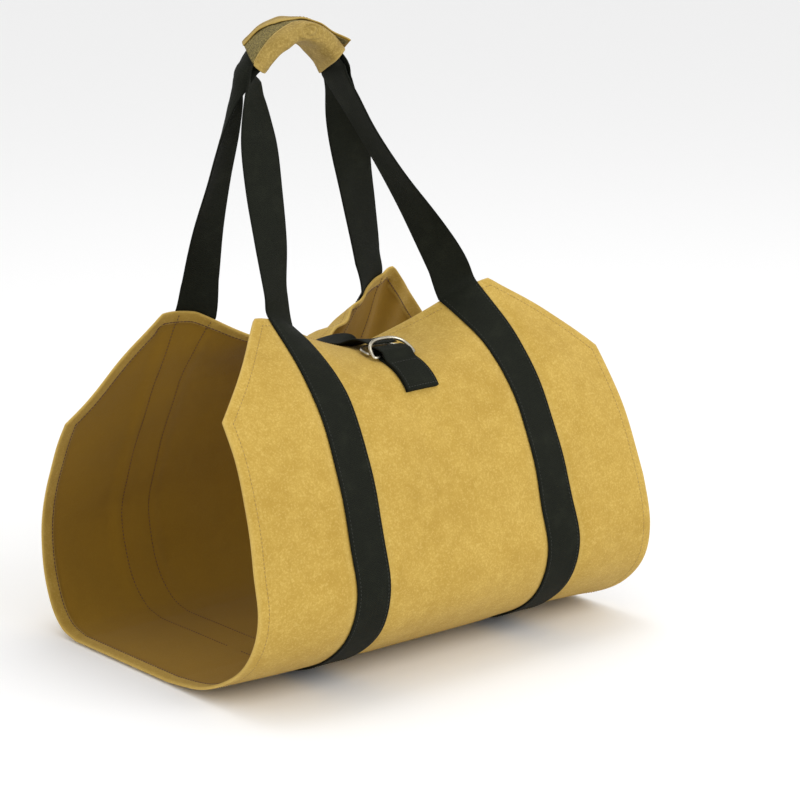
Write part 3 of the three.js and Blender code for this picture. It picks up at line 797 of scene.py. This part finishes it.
# Grip: canvas round both handles. The outer flap laps over the inner one, lifts towards the
# right end and shows a strip of loop tape. Angles run round the grip: 90 is up, 180 the front.
wrap = {
    "squareness": 0.62,
    "lapStart": 330,
    "overlap": 44,
    "seam": [(0.0, 76), (0.3, 90), (0.5, 100), (0.75, 112), (1.0, 116)],
    "lip": [(0.0, 142), (0.25, 116), (0.45, 107), (0.6, 112), (0.75, 126), (1.0, 136)],
    "lipHeight": 0.0014,
    "flapFrom": 0.74,
    "flapLift": 0.0008,
    "flapReach": -0.001,
    "creaseAt": (0.60, 172),
    "creaseSize": (0.085, 20),
    "wrinkle": 0.0014,
    "skew": (0.097, 0.085),
    "endWidth": (0.84, 0.86),
    "endThickness": (1.2, 1.1),
    "endBack": 0.0035,
    "endRoll": 0.12,
    "steps": 64,
    "around": 150,
}


def tableAt(rows, at):
    return np.interp(at, [row[0] for row in rows], [row[1] for row in rows])


def gripRound(at, degrees, off):
    angle = np.radians(degrees)
    lap = (grip["canvas"] + clearance) * clamp01((degrees - wrap["lapStart"]) / 90)
    side = np.sign(np.cos(angle)) * np.abs(np.cos(angle)) ** wrap["squareness"]
    up = np.sign(np.sin(angle)) * np.abs(np.sin(angle)) ** wrap["squareness"]
    toLeft, toRight = ease(at, 0.42, 0.0), ease(at, 0.6, 1.0)
    wide = 1 + (wrap["endWidth"][0] - 1) * toLeft + (wrap["endWidth"][1] - 1) * toRight
    thick = 1 + (wrap["endThickness"][0] - 1) * toLeft + (wrap["endThickness"][1] - 1) * toRight
    side = side * (grip["width"] / 2 * wide - grip["canvas"] + lap + off)
    up = up * (grip["thickness"] / 2 * thick - grip["canvas"] + lap + off)
    # The wrap sits askew: its back reaches further to the right than its front
    at = at + np.interp(at, (0, 1), wrap["skew"]) * side / (grip["width"] / 2)
    up = up - wrap["endRoll"] * toLeft * (side + 0.010)
    side = side + wrap["endBack"] * toLeft
    return gripPoint(at) + np.stack([0 * side, side, 0 * side], -1) + gripUp(at) * up[..., None]


def gripOff(at, degrees):
    seam = tableAt(wrap["seam"], at)
    lip = tableAt(wrap["lip"], at)
    raised = wrap["lipHeight"] * ease(degrees, lip - 1.5, lip + 2.5) * ease(degrees, 330, 290)
    # The free flap goes on straight where the grip curves down
    flap = ease(degrees, 400, 360 + seam) * 4 * grip["rise"] * np.maximum(at - wrap["flapFrom"], 0) ** 2
    (placeAt, turnAt), (width, height) = wrap["creaseAt"], wrap["creaseSize"]
    ring = np.hypot((at - placeAt) / width, (degrees - turnAt) / height)
    crease = -np.cos(ring * 2 * math.pi) * np.exp(-(ring**2) / 3.2) * ease(degrees, 128, 142)
    ripple = 0.0003 * np.sin(at * 31 + degrees / 21) + 0.0003 * np.sin(at * 17 - degrees / 13 + 1.0)
    lifted = wrap["flapLift"] * ease(degrees, 424, 360 + seam)
    return raised + flap + lifted + wrap["wrinkle"] * crease + ripple * ease(degrees, 130, 150)


# How far the outer flap's free end reaches along the grip
def flapShift(at, degrees, last):
    return wrap["flapReach"] / grip["span"] * ease(at, 0.6, 1.0) * ease(degrees, 425, last)


def gripWrapPiece():
    start, stop = grip["inset"]
    at = np.linspace(start, stop, wrap["steps"])
    at = np.sort(np.concatenate([at, [start + 0.004, stop - 0.004]]))[:, None]
    share = np.linspace(0, 1, wrap["around"])
    share = np.sort(np.concatenate([share, [0.0016, 0.9984]]))[None, :]
    seam = tableAt(wrap["seam"], at)
    first, last = seam - wrap["overlap"], 360 + seam
    degrees = first + (last - first) * share
    at, degrees = np.broadcast_arrays(at, degrees)
    reach = flapShift(at, degrees, last)
    off = gripOff(at, degrees)
    girth = (last - first) / 360 * 2 * (grip["width"] + grip["thickness"]) * 0.86
    edge = np.minimum((at - start) * 0.1, (stop - at) * 0.1)
    edge = np.minimum(edge, np.minimum(share, 1 - share) * girth)
    drawIn = edgeRound(edge, grip["canvas"])
    near = gripRound(at + reach, degrees, off + drawIn)
    far = gripRound(at + reach, degrees, off + grip["canvas"] - drawIn)
    uv = np.stack([at * 0.1 + 0.3, share * girth + 0.1], 2)
    # Lighter along the wrap's edges and its raised lip: wear, and a painted highlight on the lip's edge
    rub = np.maximum(ease(edge, 0.003, 0.0), hump(degrees, tableAt(wrap["lip"], at) + 3, 5))
    # The flat piece that it was cut as: mean lengths of its middle layer
    middle = (near + far) / 2
    wrap["flat"] = tuple(float(np.linalg.norm(np.diff(middle, axis=k), axis=2).sum(k).mean()) for k in (0, 1))
    return sheetObject("grip_wrap_canvas", near, far, uv, {"rub": rub})


def gripTapePiece():
    at = np.linspace(grip["inset"][0] + 0.004, 0.9, 60)[:, None]
    share = np.linspace(0, 1, 12)[None, :]
    seam, lip = tableAt(wrap["seam"], at), tableAt(wrap["lip"], at)
    degrees = (seam - 8) + (lip + 1.5 - (seam - 8)) * share
    at, degrees = np.broadcast_arrays(at, degrees)
    fuzz = 0.00022 * np.sin(at * 700 + degrees * 1.7) * np.sin(degrees * 2.3 + at * 310)
    base = grip["canvas"] + 0.0001
    uv = np.stack([at * 0.1, degrees / 1000], 2)
    return sheetObject("tape_on_grip", gripRound(at, degrees, base), gripRound(at, degrees, base + 0.001 + fuzz), uv)


def flapTapePiece():
    at = np.linspace(0.5, grip["inset"][1] - 0.01, 40)[:, None]
    share = np.linspace(0, 1, 10)[None, :]
    last = 360 + tableAt(wrap["seam"], at)
    degrees = last - 17 + 16 * share
    at, degrees = np.broadcast_arrays(at, degrees)
    reach = flapShift(at, degrees, last)
    fuzz = 0.0002 * np.sin(at * 640 + degrees * 1.9)
    off = gripOff(at, degrees)
    uv = np.stack([at * 0.1, degrees / 1000], 2)
    low = gripRound(at + reach, degrees, off - 0.0009 + fuzz)
    return sheetObject("tape_under_flap", low, gripRound(at + reach, degrees, off - 0.0001), uv)


wrapPiece = finishPiece(gripWrapPiece(), "grip", "grip_canvas", "grip_wrap")
tapePiece = finishPiece(gripTapePiece(), "tape", "loop_tape", "grip_tape")
flapTape = finishPiece(flapTapePiece(), "tape", "loop_tape")
print("grip wrapped, cut as", [round(side, 4) for side in wrap["flat"]])


# Closure: two D-rings in a folded tab, and a strap over the opening with its end under the upper ring
closure = {
    "shift": bag["closureShift"],
    "tabFromEdge": 0.051,
    "tabLength": 0.052,
    "wire": 0.0032,
    "ringDepth": 0.020,
    "ringPlay": 0.0014,
    "ringPitch": 0.008,
    "upperLean": 28,
    "tailGap": 0.006,
    "sewn": 0.060,
    "sag": -0.001,
    "tilt": 0.42,
    "bowPower": 0.77,
    "climb": [0, 0.02, 0.2, 0.6, 0.9, 1, 1, 1],
}
ringLift = clearance + webbing + closure["ringPlay"] + closure["wire"] / 2


# Points off the canvas at distances down from a panel's top edge
def downPanel(panel, distances, offs, across, withRelief=1.0):
    ups = panel["sign"] * (1 - np.asarray(distances) / panel["length"])
    points, normals = clothPoints(across, ups, 0.0, withRelief)
    points = points + normals * np.asarray(offs)[None, :, None]
    return points.transpose(1, 0, 2), normals.transpose(1, 0, 2)


def ringPlace(edge, lean):
    centre = closure["shift"]
    point, normal = downPanel(frontPanel, [edge], [ringLift], np.array([centre]), 0.0)
    point, normal = point[0, 0], normal[0, 0]
    ends = downPanel(frontPanel, [edge], [0.0], centre + halfWebbing * np.array([-1, 1]), 0.0)[0][0]
    side = unit(ends[1] - ends[0])
    upSlope = unit(-np.cross(side, normal))
    reach = upSlope * math.cos(math.radians(lean)) + normal * math.sin(math.radians(lean))
    return point, side, reach


def ringPiece(name, edge, lean, node):
    centre, side, reach = ringPlace(edge, lean)
    halfWidth = halfWebbing + closure["ringPlay"] * 2 + closure["wire"] / 2
    points = [(halfWidth * (1 - 2 * k / 4), 0.0) for k in (1, 2, 3)]
    for k in range(13):
        turn = k / 12 * math.pi
        cosine = math.cos(turn)
        out = closure["ringDepth"] * max(math.sin(turn), 0) ** closure["bowPower"]
        points.append((-halfWidth * math.copysign(abs(cosine) ** closure["bowPower"], cosine), out))
    path = np.array([centre + side * x + reach * out for x, out in points])
    closed = np.vstack([path[-2:], path, path[:3]])
    line = smoothLine(closed, 0.0011)
    start = int(np.argmin(np.linalg.norm(line - path[0], axis=1)))
    later = line[start + 20 :]
    line = line[start : start + 20 + int(np.argmin(np.linalg.norm(later - path[0], axis=1)))]
    tangents = unit(np.roll(line, -1, 0) - np.roll(line, 1, 0))
    flat = unit(np.cross(side, reach))
    beside = unit(np.cross(tangents, flat[None, :]))
    turns = np.arange(14) / 14 * 2 * math.pi
    circle = flat[None, None] * np.cos(turns)[None, :, None] + beside[:, None] * np.sin(turns)[None, :, None]
    rings = line[:, None] + circle * closure["wire"] / 2
    rows, columns = rings.shape[:2]
    index = np.arange(rows * columns).reshape(rows, columns)
    after, beyond = np.roll(index, -1, 0), np.roll(index, -1, 1)
    faces = np.stack([index, after, np.roll(after, -1, 1), beyond], -1).reshape(-1, 4)
    faces = outward(rings.reshape(-1, 3), faces)
    return finishPiece(meshObject(name, rings, faces.tolist()), "steel", "ring_metal", node)


ringPiece("ring_lower", closure["tabFromEdge"], 0, "d_ring_lower")
upperEdge = closure["tabFromEdge"] + closure["ringPitch"]
ringPiece("ring_upper", upperEdge, closure["upperLean"], "d_ring_upper")


def tabPiece():
    start = closure["tabFromEdge"]
    end = start + closure["tabLength"]
    lower = start + closure["ringPitch"]
    radius = closure["ringPlay"] + closure["wire"] / 2 + webbing
    top = ringLift + radius
    sewn = clearance * 2 + webbing * 2
    path = [(end + (start - end) * k / 24, clearance) for k in range(25)]
    for a in np.linspace(0, math.pi, 18)[1:-1]:
        path.append((start - radius * math.sin(a), ringLift - radius * math.cos(a)))
    path += [(start, top), (start + 0.004, top), (lower, top)]
    for t in np.linspace(0, 1, 12)[1:]:
        path.append((lower + radius * 2 * t, top + (sewn - top) * t * t * (3 - 2 * t)))
    path += [(lower + radius * 2 + (end - lower - radius * 2) * t, sewn) for t in np.linspace(0, 1, 16)[1:]]
    path = np.array(path)
    way = unit(np.gradient(path, axis=0))
    across = ribbon["across"][::-1]
    retreat = edgeRound(halfWebbing - np.abs(across), webbing)
    outer, inner = [], []
    for (edge, off), (stepEdge, stepOff) in zip(path, way):
        for grid, depth in ((outer, retreat), (inner, webbing - retreat)):
            row = []
            for place, down in zip(across, depth):
                row.append((closure["shift"] + place, edge + stepOff * down, off - stepEdge * down))
            grid.append(row)
    def onPanel(grid):
        grid = np.array(grid)
        rows, columns = grid.shape[:2]
        flat = grid.reshape(-1, 3)
        points, normals = clothLine(flat[:, 0], -(1 - flat[:, 1] / frontPanel["length"]), 0.0)
        return (points + normals * flat[:, 2:3]).reshape(rows, columns, 3)
    along = np.concatenate([[0], np.cumsum(np.linalg.norm(np.diff(path, axis=0), axis=1))])
    uv = np.stack(np.broadcast_arrays(across[None, :], along[:, None]), 2)
    return sheetObject("ring_tab_webbing", onPanel(inner), onPanel(outer), uv)


finishPiece(tabPiece(), "webbing", "webbing", "ring_tab")


def closurePiece():
    across = closure["shift"] + ribbon["across"][::-1]
    centre, side, reach = ringPlace(closure["tabFromEdge"], 0)
    bowEdge = closure["tabFromEdge"] - closure["ringDepth"]
    base, normal = downPanel(frontPanel, [bowEdge], [0.0], np.array([closure["shift"]]), 0.0)
    overRing = float((centre + reach * closure["ringDepth"] - base[0, 0]) @ normal[0, 0])
    overRing += closure["wire"] / 2 + closure["ringPlay"]
    tail = closure["tabFromEdge"] - closure["tailGap"]
    distances = np.linspace(tail, 0, 34)
    climb = np.interp(distances / tail * 7, range(8), closure["climb"])
    climb = np.convolve(np.pad(climb, 2, mode="edge"), np.ones(5) / 5, mode="valid")
    offs = clearance + (overRing - clearance) * climb
    front, frontNormals = downPanel(frontPanel, distances, offs, across)
    down = np.linspace(0, closure["sewn"], 24)
    back, backNormals = downPanel(backPanel, down, np.full(24, clearance), across)
    steps = np.linspace(0, 1, 40)[1:-1]
    slopeFront = (front[-1] - front[-3]) / np.linalg.norm(front[-1, 6] - front[-3, 6])
    slopeBack = (back[2] - back[0]) / np.linalg.norm(back[2, 6] - back[0, 6])
    span = np.linalg.norm(back[0, 6] - front[-1, 6])
    reachOut = 0.35 * span
    bridge, bridgeNormals = [], []
    for t in steps:
        h00, h10 = 2 * t**3 - 3 * t**2 + 1, t**3 - 2 * t**2 + t
        h01, h11 = -2 * t**3 + 3 * t**2, t**3 - t**2
        row = front[-1] * h00 + slopeFront * reachOut * h10 + back[0] * h01 + slopeBack * reachOut * h11
        row = row - np.array([0, 0, closure["sag"] * math.sin(math.pi * t)])
        row[:, 2] += closure["tilt"] * (across - closure["shift"]) * math.sin(math.pi * t**0.6)
        bridge.append(row)
        bridgeNormals.append(unit(frontNormals[-1] * (1 - t) + backNormals[0] * t))
    bridge = np.array(bridge)
    near = np.concatenate([front, bridge, back])
    frames = np.concatenate([frontNormals, np.array(bridgeNormals), backNormals])
    alongWay = np.gradient(near, axis=0)
    acrossWay = np.gradient(near, axis=1)
    true = unit(np.cross(alongWay, acrossWay))
    true = np.where((true * frames).sum(2, keepdims=True) < 0, -true, true)
    return ribbonObject("closure_strap_webbing", near, true, across - closure["shift"])


finishPiece(closurePiece(), "webbing", "webbing", "closure_strap")
print("closure made")


# Stitches: a node tree sets one small thread loop at each step of a seam line
def stitchTree():
    tree = bpy.data.node_groups.new("stitch_row", "GeometryNodeTree")
    tree.interface.new_socket("Seam", in_out="INPUT", socket_type="NodeSocketGeometry")
    for name, kind, value in (
        ("Pitch", "NodeSocketFloat", 0.0036),
        ("Stitch Length", "NodeSocketFloat", 0.0026),
        ("Thread", "NodeSocketFloat", 0.0006),
        ("Unevenness", "NodeSocketFloat", 0.12),
        ("Seed", "NodeSocketInt", 4),
        ("Thread Finish", "NodeSocketMaterial", None),
    ):
        socket = tree.interface.new_socket(name, in_out="INPUT", socket_type=kind)
        if value is not None:
            socket.default_value = value
    tree.interface.new_socket("Stitches", in_out="OUTPUT", socket_type="NodeSocketGeometry")

    def add(kind, settings=None, inputs=None):
        return addNode(tree, kind, settings, inputs)

    given = add("NodeGroupInput").outputs
    curve = add("GeometryNodeMeshToCurve", {}, {"Mesh": given["Seam"]})
    inputs = {"Curve": curve.outputs[0], "Length": given["Pitch"]}
    steps = add("GeometryNodeResampleCurve", {"mode": "LENGTH"}, inputs)
    loop = add("GeometryNodeMeshUVSphere", {}, {"Segments": 6, "Rings": 5, "Radius": 0.5})
    direction = add("GeometryNodeInputTangent")
    align = add("FunctionNodeAlignRotationToVector", {"axis": "X"}, {"Vector": direction.outputs[0]})
    low = add("ShaderNodeMath", {"operation": "SUBTRACT"}, {0: 1.0, 1: given["Unevenness"]})
    high = add("ShaderNodeMath", {"operation": "ADD"}, {0: 1.0, 1: given["Unevenness"]})
    inputs = {2: low.outputs[0], 3: high.outputs[0], "Seed": given["Seed"]}
    chance = add("FunctionNodeRandomValue", {"data_type": "FLOAT"}, inputs)
    long = add("ShaderNodeMath", {"operation": "MULTIPLY"}, {0: given["Stitch Length"], 1: chance.outputs[1]})
    size = add("ShaderNodeCombineXYZ", {}, {0: long.outputs[0], 1: given["Thread"], 2: given["Thread"]})
    place = add("GeometryNodeInstanceOnPoints", {}, {
        "Points": steps.outputs[0],
        "Instance": loop.outputs[0],
        "Rotation": align.outputs[0],
        "Scale": size.outputs[0],
    })
    real = add("GeometryNodeRealizeInstances", {}, {0: place.outputs[0]})
    smooth = add("GeometryNodeSetShadeSmooth", {}, {0: real.outputs[0]})
    inputs = {"Geometry": smooth.outputs[0], "Material": given["Thread Finish"]}
    finish = add("GeometryNodeSetMaterial", {}, inputs)
    out = add("NodeGroupOutput")
    tree.links.new(finish.outputs[0], out.inputs[0])
    return tree


rowOfStitches = stitchTree()


def stitchPiece(name, lines, finish, slot, **sizes):
    vertices, edges = [], []
    for line in lines:
        start = len(vertices)
        vertices += [tuple(point) for point in line]
        edges += [(k, k + 1) for k in range(start, len(vertices) - 1)]
    mesh = bpy.data.meshes.new(name + "_seam")
    mesh.from_pydata(vertices, edges, [])
    seam = bpy.data.objects.new(name + "_seam", mesh)
    bpy.context.scene.collection.objects.link(seam)
    modifier = seam.modifiers.new("stitches", "NODES")
    modifier.node_group = rowOfStitches
    keys = {item.name: item.identifier for item in rowOfStitches.interface.items_tree if item.in_out == "INPUT"}
    for label, value in sizes.items():
        modifier[keys[label.replace("_", " ")]] = value
    modifier[keys["Thread Finish"]] = finishes[finish]
    bpy.context.view_layer.update()
    made = bpy.data.meshes.new_from_object(seam.evaluated_get(bpy.context.evaluated_depsgraph_get()))
    seam.modifiers.remove(modifier)
    bpy.data.objects.remove(seam)
    piece = bpy.data.objects.new(name, made)
    bpy.context.scene.collection.objects.link(piece)
    return finishPiece(piece, finish, slot)


# Seam lines on the cloth as (place, share) points
seams = {"hemIn": 0.0095, "hemInside": 0.0122, "strapIn": 0.0032, "step": 0.004}


# Round the whole sheet, at a distance in from its cut edge
def hemSeam(inset):
    lines = []
    angle = math.atan2(chamfer, chamferWidth)
    side = halfLength - inset
    cornerX = cornerPlace - inset * math.tan(0.5 * angle)
    for panel in bothPanels:
        sign, length = panel["sign"], panel["length"]
        sideEnd = 1 - (chamfer * alongChamfer(side) + inset / math.cos(angle)) / length
        top = 1 - inset / length
        for hand in (-1, 1):
            ups = np.arange(0, sideEnd * length, seams["step"]) / length
            lines.append((np.full(len(ups) + 1, hand * side), sign * np.append(ups, sideEnd)))
            across = np.linspace(side, cornerX, 32)
            lines.append((hand * across, sign * np.linspace(sideEnd, top, 32)))
        across = np.arange(-cornerX, cornerX + 0.0001, seams["step"])
        lines.append((across, np.full(len(across), sign * top)))
    return lines


def strapSeams(panels, inset, topGap=0.004):
    lines = []
    for panel in panels:
        for hand in (-1, 1):
            for edge in (-1, 1):
                ups = np.arange(0.012, panel["length"] - topGap, seams["step"]) / panel["length"]
                place = hand * strapPlace + edge * (halfWebbing - inset)
                lines.append((np.full(len(ups), place), panel["sign"] * ups))
    return lines


def onOuter(lines, off):
    return [clothLine(place, share, off)[0] for place, share in lines]


def onInner(lines, off):
    return [clothLine(place, share, off, True)[0] for place, share in lines]


overWebbing = clearance + webbing


# The hem's stitches stop at the straps, which lie over them
def clearOfStraps(lines):
    kept = []
    for place, share in lines:
        free = np.abs(np.abs(place) - strapPlace) > halfWebbing + 0.001
        cuts = np.flatnonzero(np.diff(free.astype(int))) + 1
        for part, ok in zip(np.split(np.arange(len(place)), cuts), free[np.concatenate([[0], cuts])]):
            if ok and len(part) > 1:
                kept.append((place[part], share[part]))
    return kept


hemLines = hemSeam(seams["hemIn"])
hemOutside = onOuter(clearOfStraps(hemLines), 0.0001)
hemInside = onInner(hemSeam(seams["hemInside"]), 0.0001)
strapLines = strapSeams(bothPanels, seams["strapIn"])
hemStitches = stitchPiece("hem_stitches_outside", hemOutside, "tan", "canvas", Thread=0.0007)
innerStitches = stitchPiece("hem_stitches_inside", hemInside, "brown", "canvas", Thread=0.0011, Stitch_Length=0.0036)
stitchPiece("strap_stitches", onOuter(strapLines, overWebbing + 0.00005), "dark", "webbing", Thread=0.00065)
strapInside = stitchPiece("strap_stitches_inside", onInner(strapLines, 0.0001), "brown", "canvas", Thread=0.0010)
print("stitches on the canvas")


# Box seams on the tab and the closure strap
def boxLines(centreFrom, centreTo, halfWide):
    corners = [(-halfWide, centreFrom), (halfWide, centreFrom), (halfWide, centreTo), (-halfWide, centreTo)]
    corners.append(corners[0])
    result = []
    for (x0, d0), (x1, d1) in zip(corners[:-1], corners[1:]):
        count = max(int(max(abs(x1 - x0), abs(d1 - d0)) / 0.003), 2)
        result.append((np.linspace(x0, x1, count), np.linspace(d0, d1, count)))
    return result


tabStart = closure["tabFromEdge"] + closure["ringPitch"] + 0.0135
tabEnd = closure["tabFromEdge"] + closure["tabLength"] - 0.003
tabTop = 2 * (clearance + webbing) + 0.00005


def boxSeams(panel, start, end):
    lines = boxLines(start, end, halfWebbing - 0.003)
    return [(closure["shift"] + x, panel["sign"] * (1 - d / panel["length"])) for x, d in lines]


tabSeams = boxSeams(frontPanel, tabStart, tabEnd)
closureSeams = onOuter(boxSeams(backPanel, 0.012, closure["sewn"] - 0.003), overWebbing + 0.00005)
stitchPiece("tab_stitches", onOuter(tabSeams, tabTop), "dark", "webbing", Thread=0.00065, Pitch=0.003)
stitchPiece("closure_stitches", closureSeams, "dark", "webbing", Thread=0.00065, Pitch=0.003)
# Stitches on the grip: along the outer flap's edge, the lip and both ends
at = np.linspace(0.07, 0.93, 40)
seamAngle = tableAt(wrap["seam"], at)
flapDegrees = 360 + seamAngle - 9


def onGrip(at, degrees, reach=0):
    return gripRound(at + reach, degrees, gripOff(at, degrees) + grip["canvas"] + 0.0001)


gripLines = [onGrip(at, flapDegrees, flapShift(at, flapDegrees, 360 + seamAngle))]
gripLines.append(onGrip(at, tableAt(wrap["lip"], at) + 9))
gripLines += [onGrip(np.full(60, endAt), np.linspace(150, 395, 60)) for endAt in (0.075, 0.925)]
gripThread = {"Thread": 0.0006, "Pitch": 0.0032, "Stitch_Length": 0.0023}
gripStitches = stitchPiece("grip_stitches", gripLines, "tan", "grip_canvas", **gripThread)
print("small seams made")

sheetLength = frontPanel["length"] + backPanel["length"]
chamferArea = 4 * 0.5 * chamfer * chamferWidth
bag["length"] * sheetLength - chamferArea

# Pale floor, soft studio light and the camera at the photograph's angle
studio = {
    "floorSize": 80.0,
    "world": 0.92,
    "keyPower": 25.0,
    "fillPower": 4.0,
    "topPower": 10.0,
}
floorMesh = bpy.data.meshes.new("floor")
half = studio["floorSize"] / 2
floorMesh.from_pydata([(-half, -half, 0), (half, -half, 0), (half, half, 0), (-half, half, 0)], [], [(0, 1, 2, 3)])
floor = bpy.data.objects.new("floor", floorMesh)
bpy.context.scene.collection.objects.link(floor)
floorShader = Finish("pale_floor")
paleGrey = {"Base Color": (0.93, 0.93, 0.93, 1), "Roughness": 0.9, "Specular IOR Level": 0.1}
floor.data.materials.append(floorShader.surface(paleGrey))

world = bpy.data.worlds.new("studio")
bpy.context.scene.world = world
world.use_nodes = True
world.node_tree.nodes["Background"].inputs["Color"].default_value = (1, 1, 1, 1)
world.node_tree.nodes["Background"].inputs["Strength"].default_value = studio["world"]


def softLight(name, place, size, power, target=(0, 0, 0.2)):
    data = bpy.data.lights.new(name, "AREA")
    data.shape, data.size, data.energy = "DISK", size, power
    lamp = bpy.data.objects.new(name, data)
    lamp.location = place
    lamp.rotation_euler = (Vector(target) - Vector(place)).to_track_quat("-Z", "Y").to_euler()
    bpy.context.scene.collection.objects.link(lamp)


softLight("key", (0.6, -2.2, 1.7), 1.6, studio["keyPower"])
softLight("fill", (-2.2, -1.2, 0.9), 1.8, studio["fillPower"])
softLight("top", (0.1, 0.4, 2.4), 1.6, studio["topPower"])

view = {
    "azimuth": -38.7,
    "elevation": 12.4,
    "distance": 2.6,
    "aim": (0.0, 0.022, 0.292),
    "focalPixels": 2790,
    "aimPixel": (328, 319),
    "frame": 800,
}
azimuth, elevation = math.radians(view["azimuth"]), math.radians(view["elevation"])
level = math.cos(elevation)
back = Vector((math.sin(azimuth) * level, -math.cos(azimuth) * level, math.sin(elevation)))
rightward = (-back).cross(Vector((0, 0, 1))).normalized()
upward = rightward.cross(-back)
perPixel = view["distance"] / view["focalPixels"]
aim = Vector(view["aim"])
centre = aim + rightward * (view["frame"] / 2 - view["aimPixel"][0]) * perPixel
centre = centre - upward * (view["frame"] / 2 - view["aimPixel"][1]) * perPixel
cameraData = bpy.data.cameras.new("camera")
cameraData.sensor_width = 36.0
cameraData.lens = view["focalPixels"] / view["frame"] * 36.0
camera = bpy.data.objects.new("camera", cameraData)
camera.location = aim + back * view["distance"]
camera.rotation_euler = (centre - camera.location).to_track_quat("-Z", "Y").to_euler()
bpy.context.scene.collection.objects.link(camera)
bpy.context.scene.camera = camera

bpy.context.scene.view_settings.view_transform = "Standard"
bpy.context.view_layer.update()
print("scene ready")
